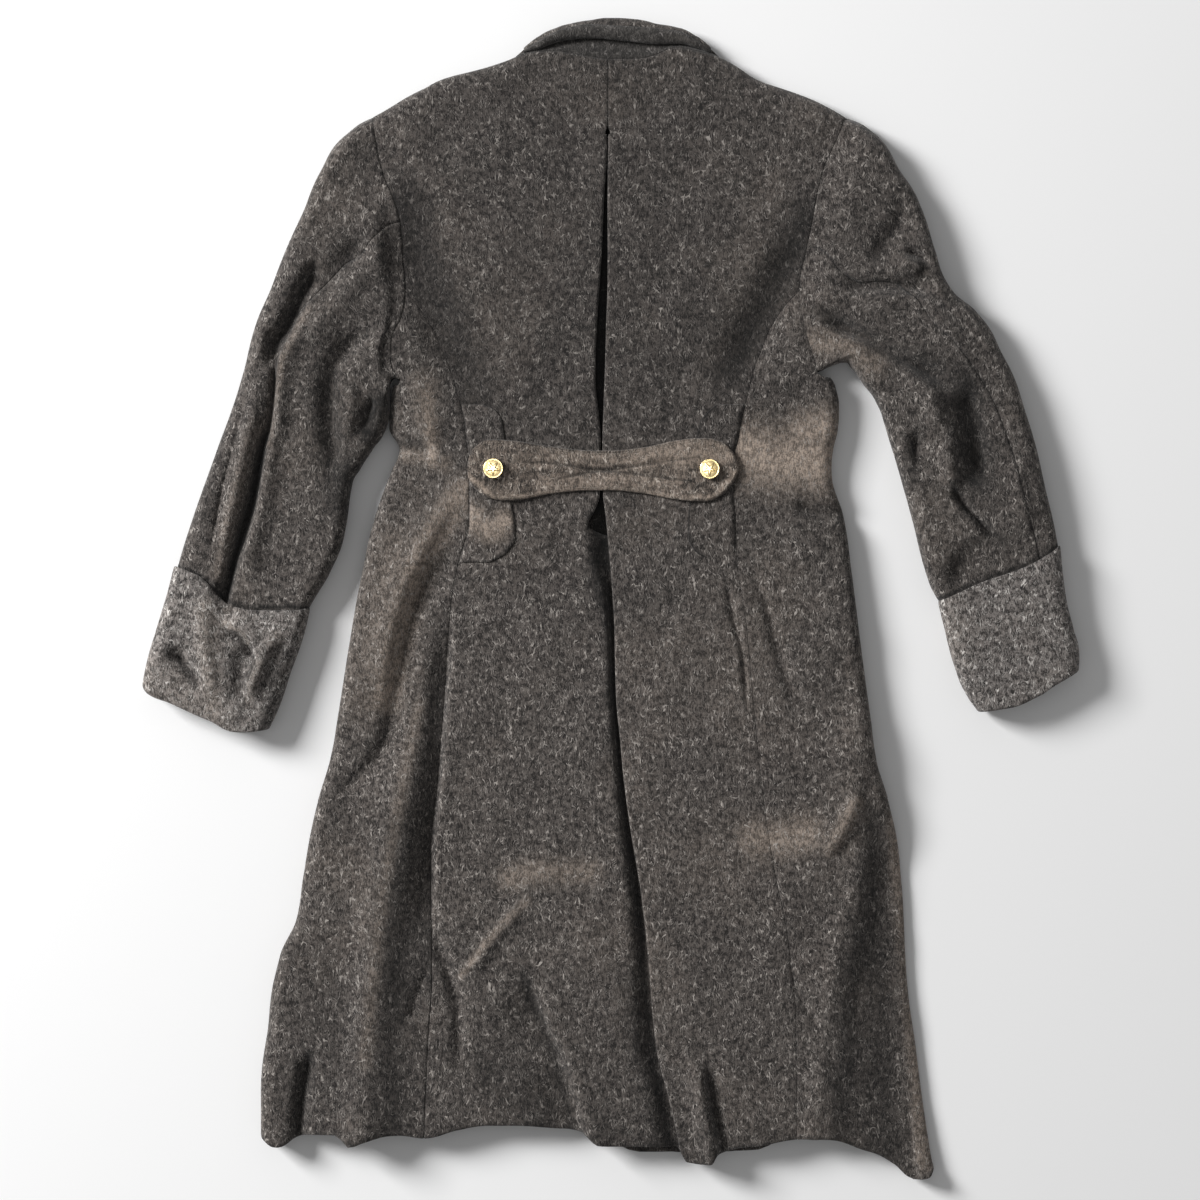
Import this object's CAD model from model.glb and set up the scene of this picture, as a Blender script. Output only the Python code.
"""A wool greatcoat laid face down on a pale floor, as it looks.

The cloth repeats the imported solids' own widths, heights and folds on finer grids, with softer
edges, smaller creases and the wool itself. Tables are in millimetres from the middle of the
back, with y towards the collar and x to the right. Ground turns them into the frame's metres.
"""

import logging
import math
from collections.abc import Callable, Sequence
from dataclasses import dataclass, field
from enum import Enum

import bpy
import numpy as np
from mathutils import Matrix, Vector


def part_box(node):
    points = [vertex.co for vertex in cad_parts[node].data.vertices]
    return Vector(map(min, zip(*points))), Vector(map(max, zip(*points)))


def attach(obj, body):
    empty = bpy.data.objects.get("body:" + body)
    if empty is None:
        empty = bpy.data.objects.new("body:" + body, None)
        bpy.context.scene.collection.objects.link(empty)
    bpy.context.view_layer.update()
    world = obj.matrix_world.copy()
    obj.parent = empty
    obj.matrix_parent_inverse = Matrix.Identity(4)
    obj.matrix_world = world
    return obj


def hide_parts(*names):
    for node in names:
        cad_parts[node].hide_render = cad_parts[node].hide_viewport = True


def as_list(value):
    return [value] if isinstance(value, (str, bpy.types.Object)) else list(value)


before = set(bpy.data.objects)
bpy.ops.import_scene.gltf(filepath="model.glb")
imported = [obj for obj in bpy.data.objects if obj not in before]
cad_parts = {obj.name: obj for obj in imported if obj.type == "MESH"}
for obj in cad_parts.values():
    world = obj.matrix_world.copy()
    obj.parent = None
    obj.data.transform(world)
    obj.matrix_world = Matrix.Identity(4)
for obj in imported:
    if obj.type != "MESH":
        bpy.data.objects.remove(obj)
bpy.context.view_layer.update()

log = logging.getLogger("greatcoat")
Array = np.ndarray
Curve = Callable[[Array], Array]
Path = tuple[tuple[float, float], ...]
Colour = tuple[float, float, float, float]

# Cloth and making, in millimetres
CLOTH = 2.6
SEAM_GAP = 0.36
LAYER_GAP = 0.6
FOLD_RADIUS = 1.8
LAYER_PITCH = 2 * FOLD_RADIUS
GRAIN = 4.0  # spacing of the cloth's grids

# Rims: how far they thin by the edge, over what distance, how far they look darker, and how
# far a share of the wall they bulge out
ROLL = 0.4
ROLL_REACH = 2.0
EDGE_MARK_REACH = 2.0
RIM_BULGE = 0.22

# Working limits: a length kept off nought, a distance past any other, and points a millimetre
# that count as one place
LEAST = 1e-9
FAR = 1e3
SAME_PLACE = 20
CELL_CORNERS = ((0, 0), (0, 1), (1, 0), (1, 1))

# Levels up the back
HEM_Y = -594.0
WAIST_Y = 143.0
SEAM_TOP_Y = 339.0
PLEAT_TOP_Y = 511.0
SHOULDER_Y = 530.0
NECK_Y = 597.0
UNDERARM_RECESS = 8.0

# Heights of the laid coat
EDGE_RADIUS = 13.0
SHOULDER_RADIUS = 16.0
SHOULDER_SEAM_Z = 11.0
SLEEVE_HEIGHT = 33.0
SLEEVE_EDGE = 17.0
LEAST_LIE = 19.0
LIE_FALL = 8.0  # the least height falls this far to the sides, 1 in LIE_RUN
LIE_RUN = 30.0

# Columns of the paired tables: level, left, right
SIDE_EDGE = (
    (260, -222, 246), (246, -225, 253), (231, -229, 260), (209, -231, 263), (189, -232, 262),
    (167, -221, 257), (143, -229, 255), (93, -247, 268), (38, -260, 276), (-50, -276, 287),
    (-132, -289, 298), (-176, -297, 304), (-220, -310, 317), (-308, -327, 332),
    (-352, -334, 335), (-390, -352, 337), (-467, -365, 348), (-563, -373, 363),
    (-594, -373, 368),
)
SHOULDER_LINE = (
    (530, -250, 270), (542, -229, 249), (553, -211, 225), (563, -191, 197), (572, -174, 172),
    (581, -140, 158), (590, -110, 144), (597, -92, 130),
)
ARMHOLE = (
    (530, -250, 270), (499, -245, 257), (468, -238, 244), (410, -219, 232), (376, -217, 225),
    (339, -214, 219), (311, -218, 222), (283, -229, 229), (260, -229, 236), (243, -219, 240),
)
SIDE_BACK_SEAM = (
    (339, -214, 219), (314, -194, 197), (280, -176, 180), (236, -160, 165), (176, -147, 152),
    (143, -144, 146), (89, -144, 149), (50, -153, 150), (-13, -164, 159), (-107, -171, 168),
    (-206, -179, 178), (-288, -186, 190), (-404, -184, 210), (-482, -188, 215),
    (-594, -193, 216),
)
CENTRE_BACK = (
    (597, 8.5, 8.5), (511, 8.2, 8.8), (440, 4.5, 8.2), (373, 1.5, 8.4), (297, -3.5, 6.5),
    (242, -5, 5), (206, -1.5, 3.6), (164, 1, 2.6), (120, 0, 3.2), (98, -6, 5.4),
    (82, -13, 7.2), (74, -4, 8), (64, 22, 8.8), (50, 30, 10), (24, 33, 12.5),
    (0, 34, 14), (-24, 35, 15.5), (-50, 38, 16.2), (-88, 50, 17), (-154, 57, 22),
    (-242, 67, 32), (-330, 81, 46), (-406, 89, 54),
    (-482, 95, 61), (-532, 107, 73), (-594, 120, 88),
)
FRONT_EDGE = (
    (597, -89, 127), (581, -78, 108), (563, -60, 82), (542, -30, 46), (530, 4, 14),
    (505, 62, -48), (-594, 66, -52),
)
FLAP_EDGE = (
    (214, -128, 128), (204, -112, 117), (190, -107, 109), (150, -103, 104), (108, -98, 99),
    (72, -94, 97), (56, -100, 103), (42, -120, 121),
)

# Hem's stand below or above its level line: place across, drop
HEM_DROP = (
    (-373, 4), (-354, -6), (-334, 4), (-312, 8), (-289, 8), (-275, -5), (-262, 0), (-219, 7),
    (-194, 4), (-157, 13), (-112, 18), (-45, 14), (-20, 10), (0, -4), (40, -5), (84, -6),
    (96, -22), (121, -24), (129, -14), (177, -4), (235, 3), (290, -10), (325, -27),
    (346, -42), (360, -41), (368, -30),
)
FRONT_HEM_DROP = (
    (-373, 4), (-334, 5), (-262, 4), (-219, 8), (-157, 16), (-112, 22), (-45, 18), (-10, 2),
    (20, -6), (44, -14), (84, -14), (100, -18), (121, -20), (140, -14), (177, -12), (205, 2),
    (290, -6), (346, -30), (368, -24),
)
HEM_DROP_REACH = 300.0
NECK_RISE_REACH = 26.0
FRONT_HEM_SHARE = 3  # the fronts' own hem begins one part in so many from the side edge

# Where the left half starts down under the right one: level, distance from the right one's edge
UNDERLAP_DIP = (
    (90, 26), (60, 27), (30, 20), (0, 12), (-100, 9), (-240, 13), (-330, 17), (-420, 23),
    (-594, 27),
)

# Height of the back's cloth over the floor before its folds: level, height
LIE = ((610, 21), (530, 24), (339, 27), (243, 26), (143, 23), (0, 26), (-264, 28), (-620, 28))

# Collar lines: place across, seam, lip of the roll, raw edge of the under-collar, outer edge
COLLAR = (
    (-92, 597, 598.2, 599.6, 601), (-80, 600, 603, 606, 611), (-66, 602, 606, 614, 621),
    (-50, 602.5, 611.5, 623, 628.5), (-32, 600, 615, 629, 634), (-10, 596.5, 616.5, 631.5, 638),
    (12, 594, 615, 630.5, 641), (40, 594.5, 612, 629, 639.5), (62, 599, 610, 627.5, 634),
    (84, 606, 610.5, 624.5, 630), (104, 603, 607.5, 615, 621.5), (119, 599.5, 602.5, 605.5, 611),
    (130, 597, 598.2, 599.6, 601),
)

# Half-belt: place across, top, bottom
BELT_OUTLINE = (
    (-145, 146, 142), (-142, 158, 131.5), (-134, 168.5, 121), (-120, 175, 112.5),
    (-100, 174, 110), (-50, 167, 118), (2, 163, 121), (45, 166, 118), (84, 174, 111),
    (112, 176.5, 109), (130, 173.5, 114.5), (142, 165, 125), (149, 153, 137), (151, 146, 143),
)


class Side(Enum):
    """The halves of the coat as its back is seen from above."""

    LEFT = "left"
    RIGHT = "right"

    @property
    def inward(self) -> float:
        """Sign of x from this side's edge towards the middle of the back."""
        return 1.0 if self is Side.LEFT else -1.0

    @property
    def column(self) -> int:
        """Place of this side in the rows of a paired table."""
        return 1 if self is Side.LEFT else 2

    def name(self, piece: str) -> str:
        """A piece's name on this side."""
        return f"{piece}_{self.value}"


UNDERARM_Y = {Side.LEFT: 243.0, Side.RIGHT: 252.0}


class Form(Enum):
    """How a fold's height falls off to its sides."""

    SOFT = "soft"
    CREASE = "crease"


# Curves and shares


def smooth(t: Array | float) -> Array:
    """Share from 0 to 1 that starts and ends level: 3 t squared less 2 t cubed."""
    u = np.clip(t, 0.0, 1.0)
    return u * u * (3 - 2 * u)


def mix(a: Array | float, b: Array | float, t: Array | float) -> Array:
    """Value a share t of the way from a to b."""
    return a + (b - a) * t


def quarter_round(d: Array, radius: float) -> Array:
    """Height share d in from an edge rounded by radius: the root of 1 less (1 - d / r) squared."""
    u = 1 - np.clip(d / radius, 0.0, 1.0)
    return np.sqrt(1 - u * u)


def unit(v: Array) -> Array:
    """Vectors at length 1, each over its own length."""
    return v / np.maximum(np.linalg.norm(v, axis=-1, keepdims=True), LEAST)


def run_of(line: Array) -> Array:
    """Length along a line from its start to each of its points: its steps' lengths summed."""
    return np.concatenate(([0.0], np.cumsum(np.linalg.norm(np.diff(line, axis=0), axis=-1))))


def as_grid(*values: Array) -> Sequence[Array]:
    """Arrays of numbers spread over one grid."""
    return np.broadcast_arrays(*(np.asarray(value, float) for value in values))


def grid_of(x: Array, y: Array, z: Array) -> Array:
    """Points from their three coordinates, spread over one grid."""
    return np.stack(as_grid(x, y, z), axis=-1)


def faced(grid: Array, turned: bool) -> Array:
    """A copy of a grid, its columns turned round where its faces would point inwards."""
    return (grid[:, ::-1] if turned else grid).copy()


def curve(points: Sequence[tuple[float, float]]) -> Curve:
    """Smooth curve through points without overshoot.

    Each span blends the two end tangents with the smooth share. A tangent is the harmonic mean
    of the slopes beside it, or level where they differ in sign.

    Args:
        points: Pairs of place and value, in any order.

    Returns:
        A function that reads the curve at an array of places.
    """
    x, y = np.array(sorted(points), float).T
    slope = np.diff(y) / np.diff(x)
    before, after = slope[:-1], slope[1:]
    same = before * after > 0
    total = np.where(same, before + after, 1.0)
    inner = np.where(same, 2 * before * after / total, 0.0)
    tangent = np.concatenate(([slope[0]], inner, [slope[-1]]))

    def read(at: Array) -> Array:
        """The curve's value at each place, held level past its ends."""
        place = np.clip(np.asarray(at, float), x[0], x[-1])
        i = np.clip(np.searchsorted(x, place) - 1, 0, len(x) - 2)
        span = x[i + 1] - x[i]
        t = (place - x[i]) / span
        a = y[i] + tangent[i] * span * t
        b = y[i + 1] - tangent[i + 1] * span * (1 - t)
        return mix(a, b, t * t * (3 - 2 * t))

    return read


def by_side(table: Sequence[tuple[float, float, float]]) -> dict[Side, Curve]:
    """A paired table's curve for each side, read by level."""
    return {side: curve([(row[0], row[side.column]) for row in table]) for side in Side}


def traced(points: Sequence[tuple[float, float]]) -> Callable[[Array], Array]:
    """Smooth path through plan points, read by share of its length.

    Args:
        points: Plan points in order.

    Returns:
        A function from shares to plan points, with the point's two numbers on the last axis.
    """
    plan = np.array(points, float)
    run = run_of(plan)
    share = run / run[-1]
    across = curve(list(zip(share, plan[:, 0])))
    down = curve(list(zip(share, plan[:, 1])))
    return lambda s: np.stack([across(s), down(s)], axis=-1)


side_edge = by_side(SIDE_EDGE)
shoulder_line = by_side(SHOULDER_LINE)
armhole = by_side(ARMHOLE)
side_back_seam = by_side(SIDE_BACK_SEAM)
centre_back = by_side(CENTRE_BACK)
front_edge = by_side(FRONT_EDGE)
flap_edge = by_side(FLAP_EDGE)
hem_drop = curve(HEM_DROP)
front_hem_drop = curve(FRONT_HEM_DROP)
underlap_dip = curve(UNDERLAP_DIP)
lie = curve(LIE)
collar_line = {
    name: curve([(row[0], row[i + 1]) for row in COLLAR])
    for i, name in enumerate(("seam", "lip", "raw", "edge"))
}
belt_top = curve([(x, top) for x, top, _ in BELT_OUTLINE])
belt_bottom = curve([(x, bottom) for x, _, bottom in BELT_OUTLINE])


# Folds


@dataclass(frozen=True)
class Fold:
    """A ridge or trough along a path, with its own width on each side of it.

    right is the width towards +x of a path that is followed downwards. Both widths grow to fan
    times theirs by the path's end. A fold that runs out keeps its full height to that end.
    """

    rise: float
    left: float
    right: float
    path: Path
    runs_out: bool = False
    form: Form = Form.SOFT
    fan: float = 1.0

    def line(self) -> Array:
        """Plan points of the path, a few millimetres apart."""
        length = run_of(np.array(self.path, float))[-1]
        count = int(np.clip(length / FOLD_STEP, *FOLD_STEPS))
        return traced(self.path)(np.linspace(0, 1, count + 1))


# How a fold is worked out: the spacing of its path's points and their fewest and most, the share
# of the path over which it fades and what it starts from, its reach in widths, and how fast a
# crease falls off
FOLD_STEP = 9
FOLD_STEPS = (3, 40)
FOLD_FADE = 0.28
FOLD_START = 0.05
FOLD_REACH = 3.2
CREASE_FALL = 1.4


def along(line: Array, x: Array, y: Array) -> tuple[Array, Array, Array]:
    """Places of points against a polyline.

    Each segment gives the nearest point on it, and the nearest of all counts.

    Args:
        line: Plan points of the polyline.
        x: Places across.
        y: Places along the back.

    Returns:
        Distance to the line, 1 or -1 for its side, and the share of its length.
    """
    steps, before = np.diff(line, axis=0), run_of(line)
    lengths = np.diff(before)
    distance = np.full(x.shape, np.inf)
    side = np.ones(x.shape)
    share = np.zeros(x.shape)
    for (ax, ay), (dx, dy), length, run_before in zip(line, steps, lengths, before):
        dx, dy = dx / length, dy / length
        run = np.clip((x - ax) * dx + (y - ay) * dy, 0, length)
        away = np.hypot(x - ax - dx * run, y - ay - dy * run)
        nearer = away < distance
        distance = np.where(nearer, away, distance)
        turn = (x - ax) * dy - (y - ay) * dx
        side = np.where(nearer, np.where(turn < 0, 1.0, -1.0), side)
        share = np.where(nearer, (run_before + run) / before[-1], share)
    return distance, side, share


def folded(folds: Sequence[Fold], x: Array, y: Array) -> Array:
    """Sum of the folds' heights at plan points.

    A soft fold falls off as a bell, e to the minus (d / w) squared, and a crease as e to the
    minus d / w. Both fade in and out over the ends of their path.

    Args:
        folds: The folds to add up.
        x: Places across.
        y: Places along the back.

    Returns:
        Heights in millimetres.
    """
    x, y = as_grid(x, y)
    total = np.zeros(x.shape)
    for fold in folds:
        line = fold.line()
        reach = FOLD_REACH * max(fold.left, fold.right) * max(1.0, fold.fan)
        low, high = line.min(axis=0) - reach, line.max(axis=0) + reach
        near = (x > low[0]) & (x < high[0]) & (y > low[1]) & (y < high[1])
        if not near.any():
            continue
        distance, side, share = along(line, x[near], y[near])
        width = distance / (np.where(side > 0, fold.right, fold.left) * mix(1, fold.fan, share))
        fall = np.exp(-(width**2) if fold.form is Form.SOFT else -CREASE_FALL * width)
        start = smooth(share / FOLD_FADE + FOLD_START)
        finish = 1.0 if fold.runs_out else smooth((1 - share) / FOLD_FADE + FOLD_START)
        total[near] += fold.rise * start * finish * np.where(width < FOLD_REACH, fall, 0.0)
    return total


# Waves of the cloth's unevenness: height, and turns a metre across and down, and phase
UNEVEN = (
    (0.55, 9.0, 4.0, 0.3), (0.45, -6.5, 8.5, 1.9), (0.35, 14.0, -5.0, 4.1),
    (0.3, 5.0, 15.0, 2.6), (0.2, 21.0, 9.0, 5.2), (0.18, -12.0, 19.0, 0.9),
)


def uneven(x: Array, y: Array) -> Array:
    """Small unevenness of a laid cloth: a sum of long sine waves over the plan."""
    turns = [
        rise * np.sin(2 * math.pi * (across * x + down * y) / 1000 + phase)
        for rise, across, down, phase in UNEVEN
    ]
    return np.sum(turns, axis=0)


BODY_FOLDS = (
    # shoulder-blade hollows
    Fold(-11, 26, 26, ((-222, 446), (-187, 341), (-143, 231), (-121, 187))),
    Fold(-11, 28, 24, ((226, 410), (190, 330), (156, 262), (140, 226))),
    # underarm roll and waist pinches
    Fold(6, 12, 14, ((-205, 250), (-196, 205), (-176, 170))),
    Fold(-8, 7, 7, ((-225, 168), (-204, 166), (-180, 160))),
    Fold(-7, 10, 10, ((268, 95), (240, 98), (212, 108))),
    # left hip
    Fold(9, 20, 10, ((-154, 131), (-175, 92), (-206, 37), (-222, -5), (-233, -53), (-246, -113))),
    Fold(-10, 9, 18, ((-148, 70), (-175, 38), (-201, 0), (-215, -40), (-224, -90), (-234, -147),
                      (-266, -195), (-300, -228))),
    Fold(-13, 18, 5, ((-161, 10), (-171, -110), (-179, -209), (-186, -297), (-186, -390))),
    # left skirt
    Fold(14, 22, 30, ((-197, -113), (-204, -156), (-216, -209), (-228, -286), (-240, -352),
                      (-249, -418), (-256, -506), (-264, -590)), True),
    Fold(-14, 7, 9, ((-317, -490), (-327, -539), (-332, -600)), True),
    Fold(-7, 7, 8, ((-182, -340), (-176, -383), (-163, -418), (-156, -462), (-154, -535))),
    Fold(5, 6, 9, ((-76, -328), (-114, -365), (-141, -405), (-158, -416))),
    Fold(-11, 30, 5, ((-84, -400), (-66, -458), (-46, -506), (-20, -600)), True),
    Fold(-4, 4, 3, ((-82, -404), (-64, -458), (-43, -506), (-17, -600)), True, Form.CREASE),
    Fold(6, 5, 22, ((-72, -408), (-54, -458), (-32, -506), (-6, -600)), True),
    Fold(-5, 4, 6, ((-184, -398), (-200, -428), (-211, -470)), False, Form.CREASE),
    # right skirt
    Fold(10, 12, 7, ((105, -496), (111, -545), (119, -585), (124, -616)), True),
    Fold(-6, 5, 10, ((116, -506), (122, -545), (131, -585), (136, -612)), True),
    Fold(-6, 5, 7, ((166, 34), (185, -17), (197, -65), (211, -106), (226, -146))),
    Fold(-4, 4, 5, ((138, 40), (145, -17), (156, -57), (160, -98), (164, -139))),
    Fold(6, 18, 16, ((284, -110), (280, -187), (259, -253), (220, -275))),
    Fold(-17, 30, 5, ((300, -206), (311, -250), (320, -320), (325, -382), (331, -443),
                      (337, -504), (341, -565), (344, -627)), True, Form.SOFT, 2.1),
    Fold(8, 12, 22, ((286, -206), (285, -260), (279, -320), (268, -361), (260, -410),
                     (253, -463), (249, -504), (245, -545), (240, -590)), True),
    Fold(-4, 3, 5, ((281, -320), (270, -361), (262, -410), (255, -463), (251, -504),
                    (247, -545), (242, -590)), True, Form.CREASE),
    Fold(-5, 5, 7, ((207, -390), (213, -420), (233, -459), (245, -484), (254, -506),
                    (270, -553)), False, Form.CREASE),
    Fold(5, 8, 6, ((286, -200), (274, -230), (257, -267), (243, -282))),
)
LEFT_SLEEVE_FOLDS = (
    Fold(-5, 14, 14, ((-300, 480), (-262, 456), (-238, 430))),
    Fold(-9, 13, 13, ((-255, 402), (-284, 363), (-319, 328))),
    Fold(-17, 8, 10, ((-306, 380), (-330, 330), (-346, 297), (-359, 276), (-355, 252))),
    Fold(8, 9, 7, ((-380, 330), (-376, 294), (-367, 258))),
    Fold(6, 14, 14, ((-255, 374), (-290, 322), (-330, 270))),
    Fold(8, 4, 13, ((-312, 328), (-334, 290), (-347, 270), (-351, 250), (-355, 205), (-363, 165),
                    (-369, 120), (-379, 76), (-388, 36), (-395, 0)), True),
    Fold(-12, 5, 4, ((-354, 266), (-359, 205), (-370, 160))),
    Fold(-22, 9, 6, ((-362, 205), (-372, 159), (-381, 110), (-394, 66), (-405, 33), (-412, 0)),
         True),
    Fold(7, 8, 9, ((-369, 262), (-381, 200), (-393, 145), (-404, 95), (-419, 30)), True),
    Fold(-5, 6, 4, ((-384, 256), (-394, 200), (-407, 150), (-419, 95), (-430, 30)), False,
         Form.CREASE),
    Fold(-12, 13, 9, ((-236, 308), (-264, 286), (-284, 266), (-294, 242), (-296, 205),
                      (-291, 160), (-284, 110))),
    Fold(6, 8, 7, ((-277, 246), (-272, 212), (-279, 172))),
    Fold(-15, 8, 9, ((-243, 224), (-250, 205), (-258, 178))),
)
RIGHT_SLEEVE_FOLDS = (
    Fold(-7, 11, 14, ((327, 444), (330, 416), (314, 394), (303, 360))),
    Fold(-10, 5, 5, ((331, 384), (350, 378), (363, 370), (374, 360)), True),
    Fold(6, 7, 7, ((328, 372), (352, 361))),
    Fold(-10, 10, 9, ((262, 350), (297, 343), (330, 343), (374, 343))),
    Fold(8, 12, 12, ((270, 330), (319, 331), (352, 323), (378, 302), (398, 279), (414, 256))),
    Fold(-15, 12, 9, ((235, 319), (264, 302), (297, 284), (336, 262), (368, 248), (400, 226))),
    Fold(9, 9, 10, ((250, 286), (286, 280), (319, 265), (347, 241), (365, 213), (372, 170))),
    Fold(-19, 19, 13, ((398, 242), (409, 200), (414, 160), (416, 118))),
    Fold(7, 7, 7, ((380, 190), (384, 140), (400, 112))),
    Fold(-12, 4, 6, ((384, 130), (394, 110), (412, 90), (429, 72), (442, 64))),
    Fold(-10, 8, 7, ((350, 186), (343, 160), (338, 134))),
    Fold(-8, 12, 14, ((437, 66), (400, 46), (380, 8))),
    Fold(5, 10, 10, ((452, 170), (462, 110), (470, 50))),
)
CUFF_FOLDS = (
    Fold(-10, 13, 9, ((-470, -48), (-450, -78), (-434, -104))),
    Fold(7, 12, 9, ((-434, 10), (-432, -50), (-424, -120))),
    Fold(-9, 6, 7, ((-418, -36), (-396, -42), (-384, -58), (-382, -76))),
    Fold(5, 6, 6, ((-406, -22), (-384, -32), (-374, -50))),
    Fold(8, 9, 6, ((-352, -36), (-372, -66), (-386, -116))),
    Fold(-10, 11, 6, ((-398, -50), (-392, -84), (-396, -120))),
    Fold(-7, 9, 9, ((-424, 24), (-414, 2), (-404, -22))),
    # pinch and dent of the left cuff
    Fold(-5, 4, 5, ((-476, -54), (-458, -70), (-443, -87), (-436, -106)), False, Form.CREASE),
    Fold(-6, 5, 4, ((-402, -33), (-391, -48), (-381, -66), (-384, -92)), False, Form.CREASE),
    Fold(4, 4, 7, ((-412, -27), (-396, -35), (-384, -50))),
    Fold(4, 8, 6, ((-344, -20), (-362, -58), (-384, -104))),
)


# Heights of the laid cloth

SHOULDER_STEP = 3.0
SHOULDER_NEAR = 40.0  # below the shoulder by more than this, its line isn't looked for


def from_shoulder(side: Side, x: Array, y: Array) -> Array:
    """Distance of plan points from a side's leaning shoulder line, FAR where it isn't near."""
    levels = np.arange(SHOULDER_Y, NECK_Y + SHOULDER_STEP, SHOULDER_STEP)
    line = np.stack([shoulder_line[side](levels), np.minimum(levels, NECK_Y)], axis=-1)
    x, y = as_grid(x, y)
    away = np.full(x.shape, FAR)
    near = y >= SHOULDER_Y - SHOULDER_NEAR
    if near.any():
        away[near] = along(line, x[near], y[near])[0]
    return away


def upper_height(side: Side, x: Array, y: Array) -> Array:
    """Mid-surface height of the upper cloth: its lie and folds, rounded down at the shoulder."""
    x, y = as_grid(x, y)
    free = lie(y) + folded(BODY_FOLDS, x, y) + uneven(x, y)
    height = np.maximum(free, LEAST_LIE - np.minimum(LIE_FALL, np.abs(x) / LIE_RUN))
    return mix(SHOULDER_SEAM_Z, height, quarter_round(from_shoulder(side, x, y), SHOULDER_RADIUS))


def back_height(x: Array, y: Array, middle: Array | float) -> Array:
    """Mid-surface height of the back: its left half's left of middle, else its right half's."""
    return np.where(x < middle, upper_height(Side.LEFT, x, y), upper_height(Side.RIGHT, x, y))


def lower_height(side: Side, x: Array, y: Array) -> Array:
    """Mid-surface height of the cloth on the floor, raised to the shoulder seam."""
    return mix(SHOULDER_SEAM_Z, CLOTH / 2,
               quarter_round(from_shoulder(side, x, y), SHOULDER_RADIUS))


def settled(x: Array, y: Array) -> Array:
    """Level a point really has: its level line's, moved by the hem's drop and the neck's rise."""
    low = smooth(1 - (y - HEM_Y) / HEM_DROP_REACH)
    high = smooth(1 - (NECK_Y - y) / NECK_RISE_REACH)
    return y + low * hem_drop(x) + high * (collar_line["seam"](x) - NECK_Y)


def settled_front(x: Array, y: Array, share: Array) -> Array:
    """Level of a point on the floor: from the back's at the side edge to the fronts' own hem.

    Args:
        x: Places across.
        y: Level lines.
        share: Share of the way from the side edge to the front edge.

    Returns:
        The levels.
    """
    low = smooth(1 - (y - HEM_Y) / HEM_DROP_REACH)
    return y + low * mix(hem_drop(x), front_hem_drop(x), smooth(share * FRONT_HEM_SHARE))


# Sheets of cloth


@dataclass
class Sheet:
    """A grid of mid-surface points, the cells it keeps, and its wall.

    relief raises or sinks the outer face alone, as a row of stitches does.
    """

    name: str
    points: Array
    keep: Array | None = None
    wall: float = CLOTH
    sewn: bool = True
    relief: Array | None = None
    roll: float = ROLL
    normals: Array = field(init=False)
    seamed: Array = field(init=False)

    def __post_init__(self) -> None:
        """Fills in the kept cells and the normals."""
        rows, columns = self.points.shape[:2]
        if self.keep is None:
            self.keep = np.ones((rows - 1, columns - 1), bool)
        self.normals = self.grid_normals()
        self.seamed = np.zeros((rows, columns), bool)

    def grid_normals(self) -> Array:
        """Vertex normals: the mean of the kept cells' normals, each the cross of its diagonals."""
        p = self.points
        face = unit(np.cross(p[1:, 1:] - p[:-1, :-1], p[1:, :-1] - p[:-1, 1:]))
        face *= self.keep[..., None]
        normals = np.zeros_like(p)
        for r, c in CELL_CORNERS:
            normals[r:r + face.shape[0], c:c + face.shape[1]] += face
        return unit(normals)

    def rim(self) -> tuple[Array, Array]:
        """Directed edges that only one kept cell uses, as flat start and end places."""
        keep, columns = self.keep, self.points.shape[1]
        padded = np.pad(keep, 1)
        spots = np.arange(keep.shape[0])[:, None] * columns + np.arange(keep.shape[1])[None, :]
        below, above = keep & ~padded[:-2, 1:-1], keep & ~padded[2:, 1:-1]
        before, after = keep & ~padded[1:-1, :-2], keep & ~padded[1:-1, 2:]
        starts = (spots[below], spots[above] + columns + 1, spots[before] + columns,
                  spots[after] + 1)
        ends = (spots[below] + 1, spots[above] + columns, spots[before],
                spots[after] + columns + 1)
        return np.concatenate(starts), np.concatenate(ends)

    def rim_tangents(self) -> Array:
        """Sum of the unit rim edges at each grid point, as rows of a flat array."""
        flat = self.points.reshape(-1, 3)
        starts, ends = self.rim()
        edge = unit(flat[ends] - flat[starts])
        tangents = np.zeros_like(flat)
        np.add.at(tangents, starts, edge)
        np.add.at(tangents, ends, edge)
        return tangents

    def rim_distance(self) -> Array:
        """Distance of each grid point to the rim, along its row or its column, the nearer."""
        on_rim = np.zeros(self.points.shape[:2], bool)
        on_rim.reshape(-1)[np.concatenate(self.rim())] = True
        nearest = np.full(on_rim.shape, FAR)
        for axis in (0, 1):
            steps = np.linalg.norm(np.diff(self.points, axis=axis), axis=-1)
            run = np.concatenate((np.zeros_like(np.take(steps, [0], axis=axis)),
                                  np.cumsum(steps, axis=axis)), axis=axis)
            last = np.maximum.accumulate(np.where(on_rim, run, -FAR), axis=axis)
            ahead = np.flip(np.minimum.accumulate(
                np.flip(np.where(on_rim, run, 10 * FAR), axis=axis), axis=axis), axis=axis)
            nearest = np.minimum(nearest, np.minimum(run - last, ahead - run))
        return nearest


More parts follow.
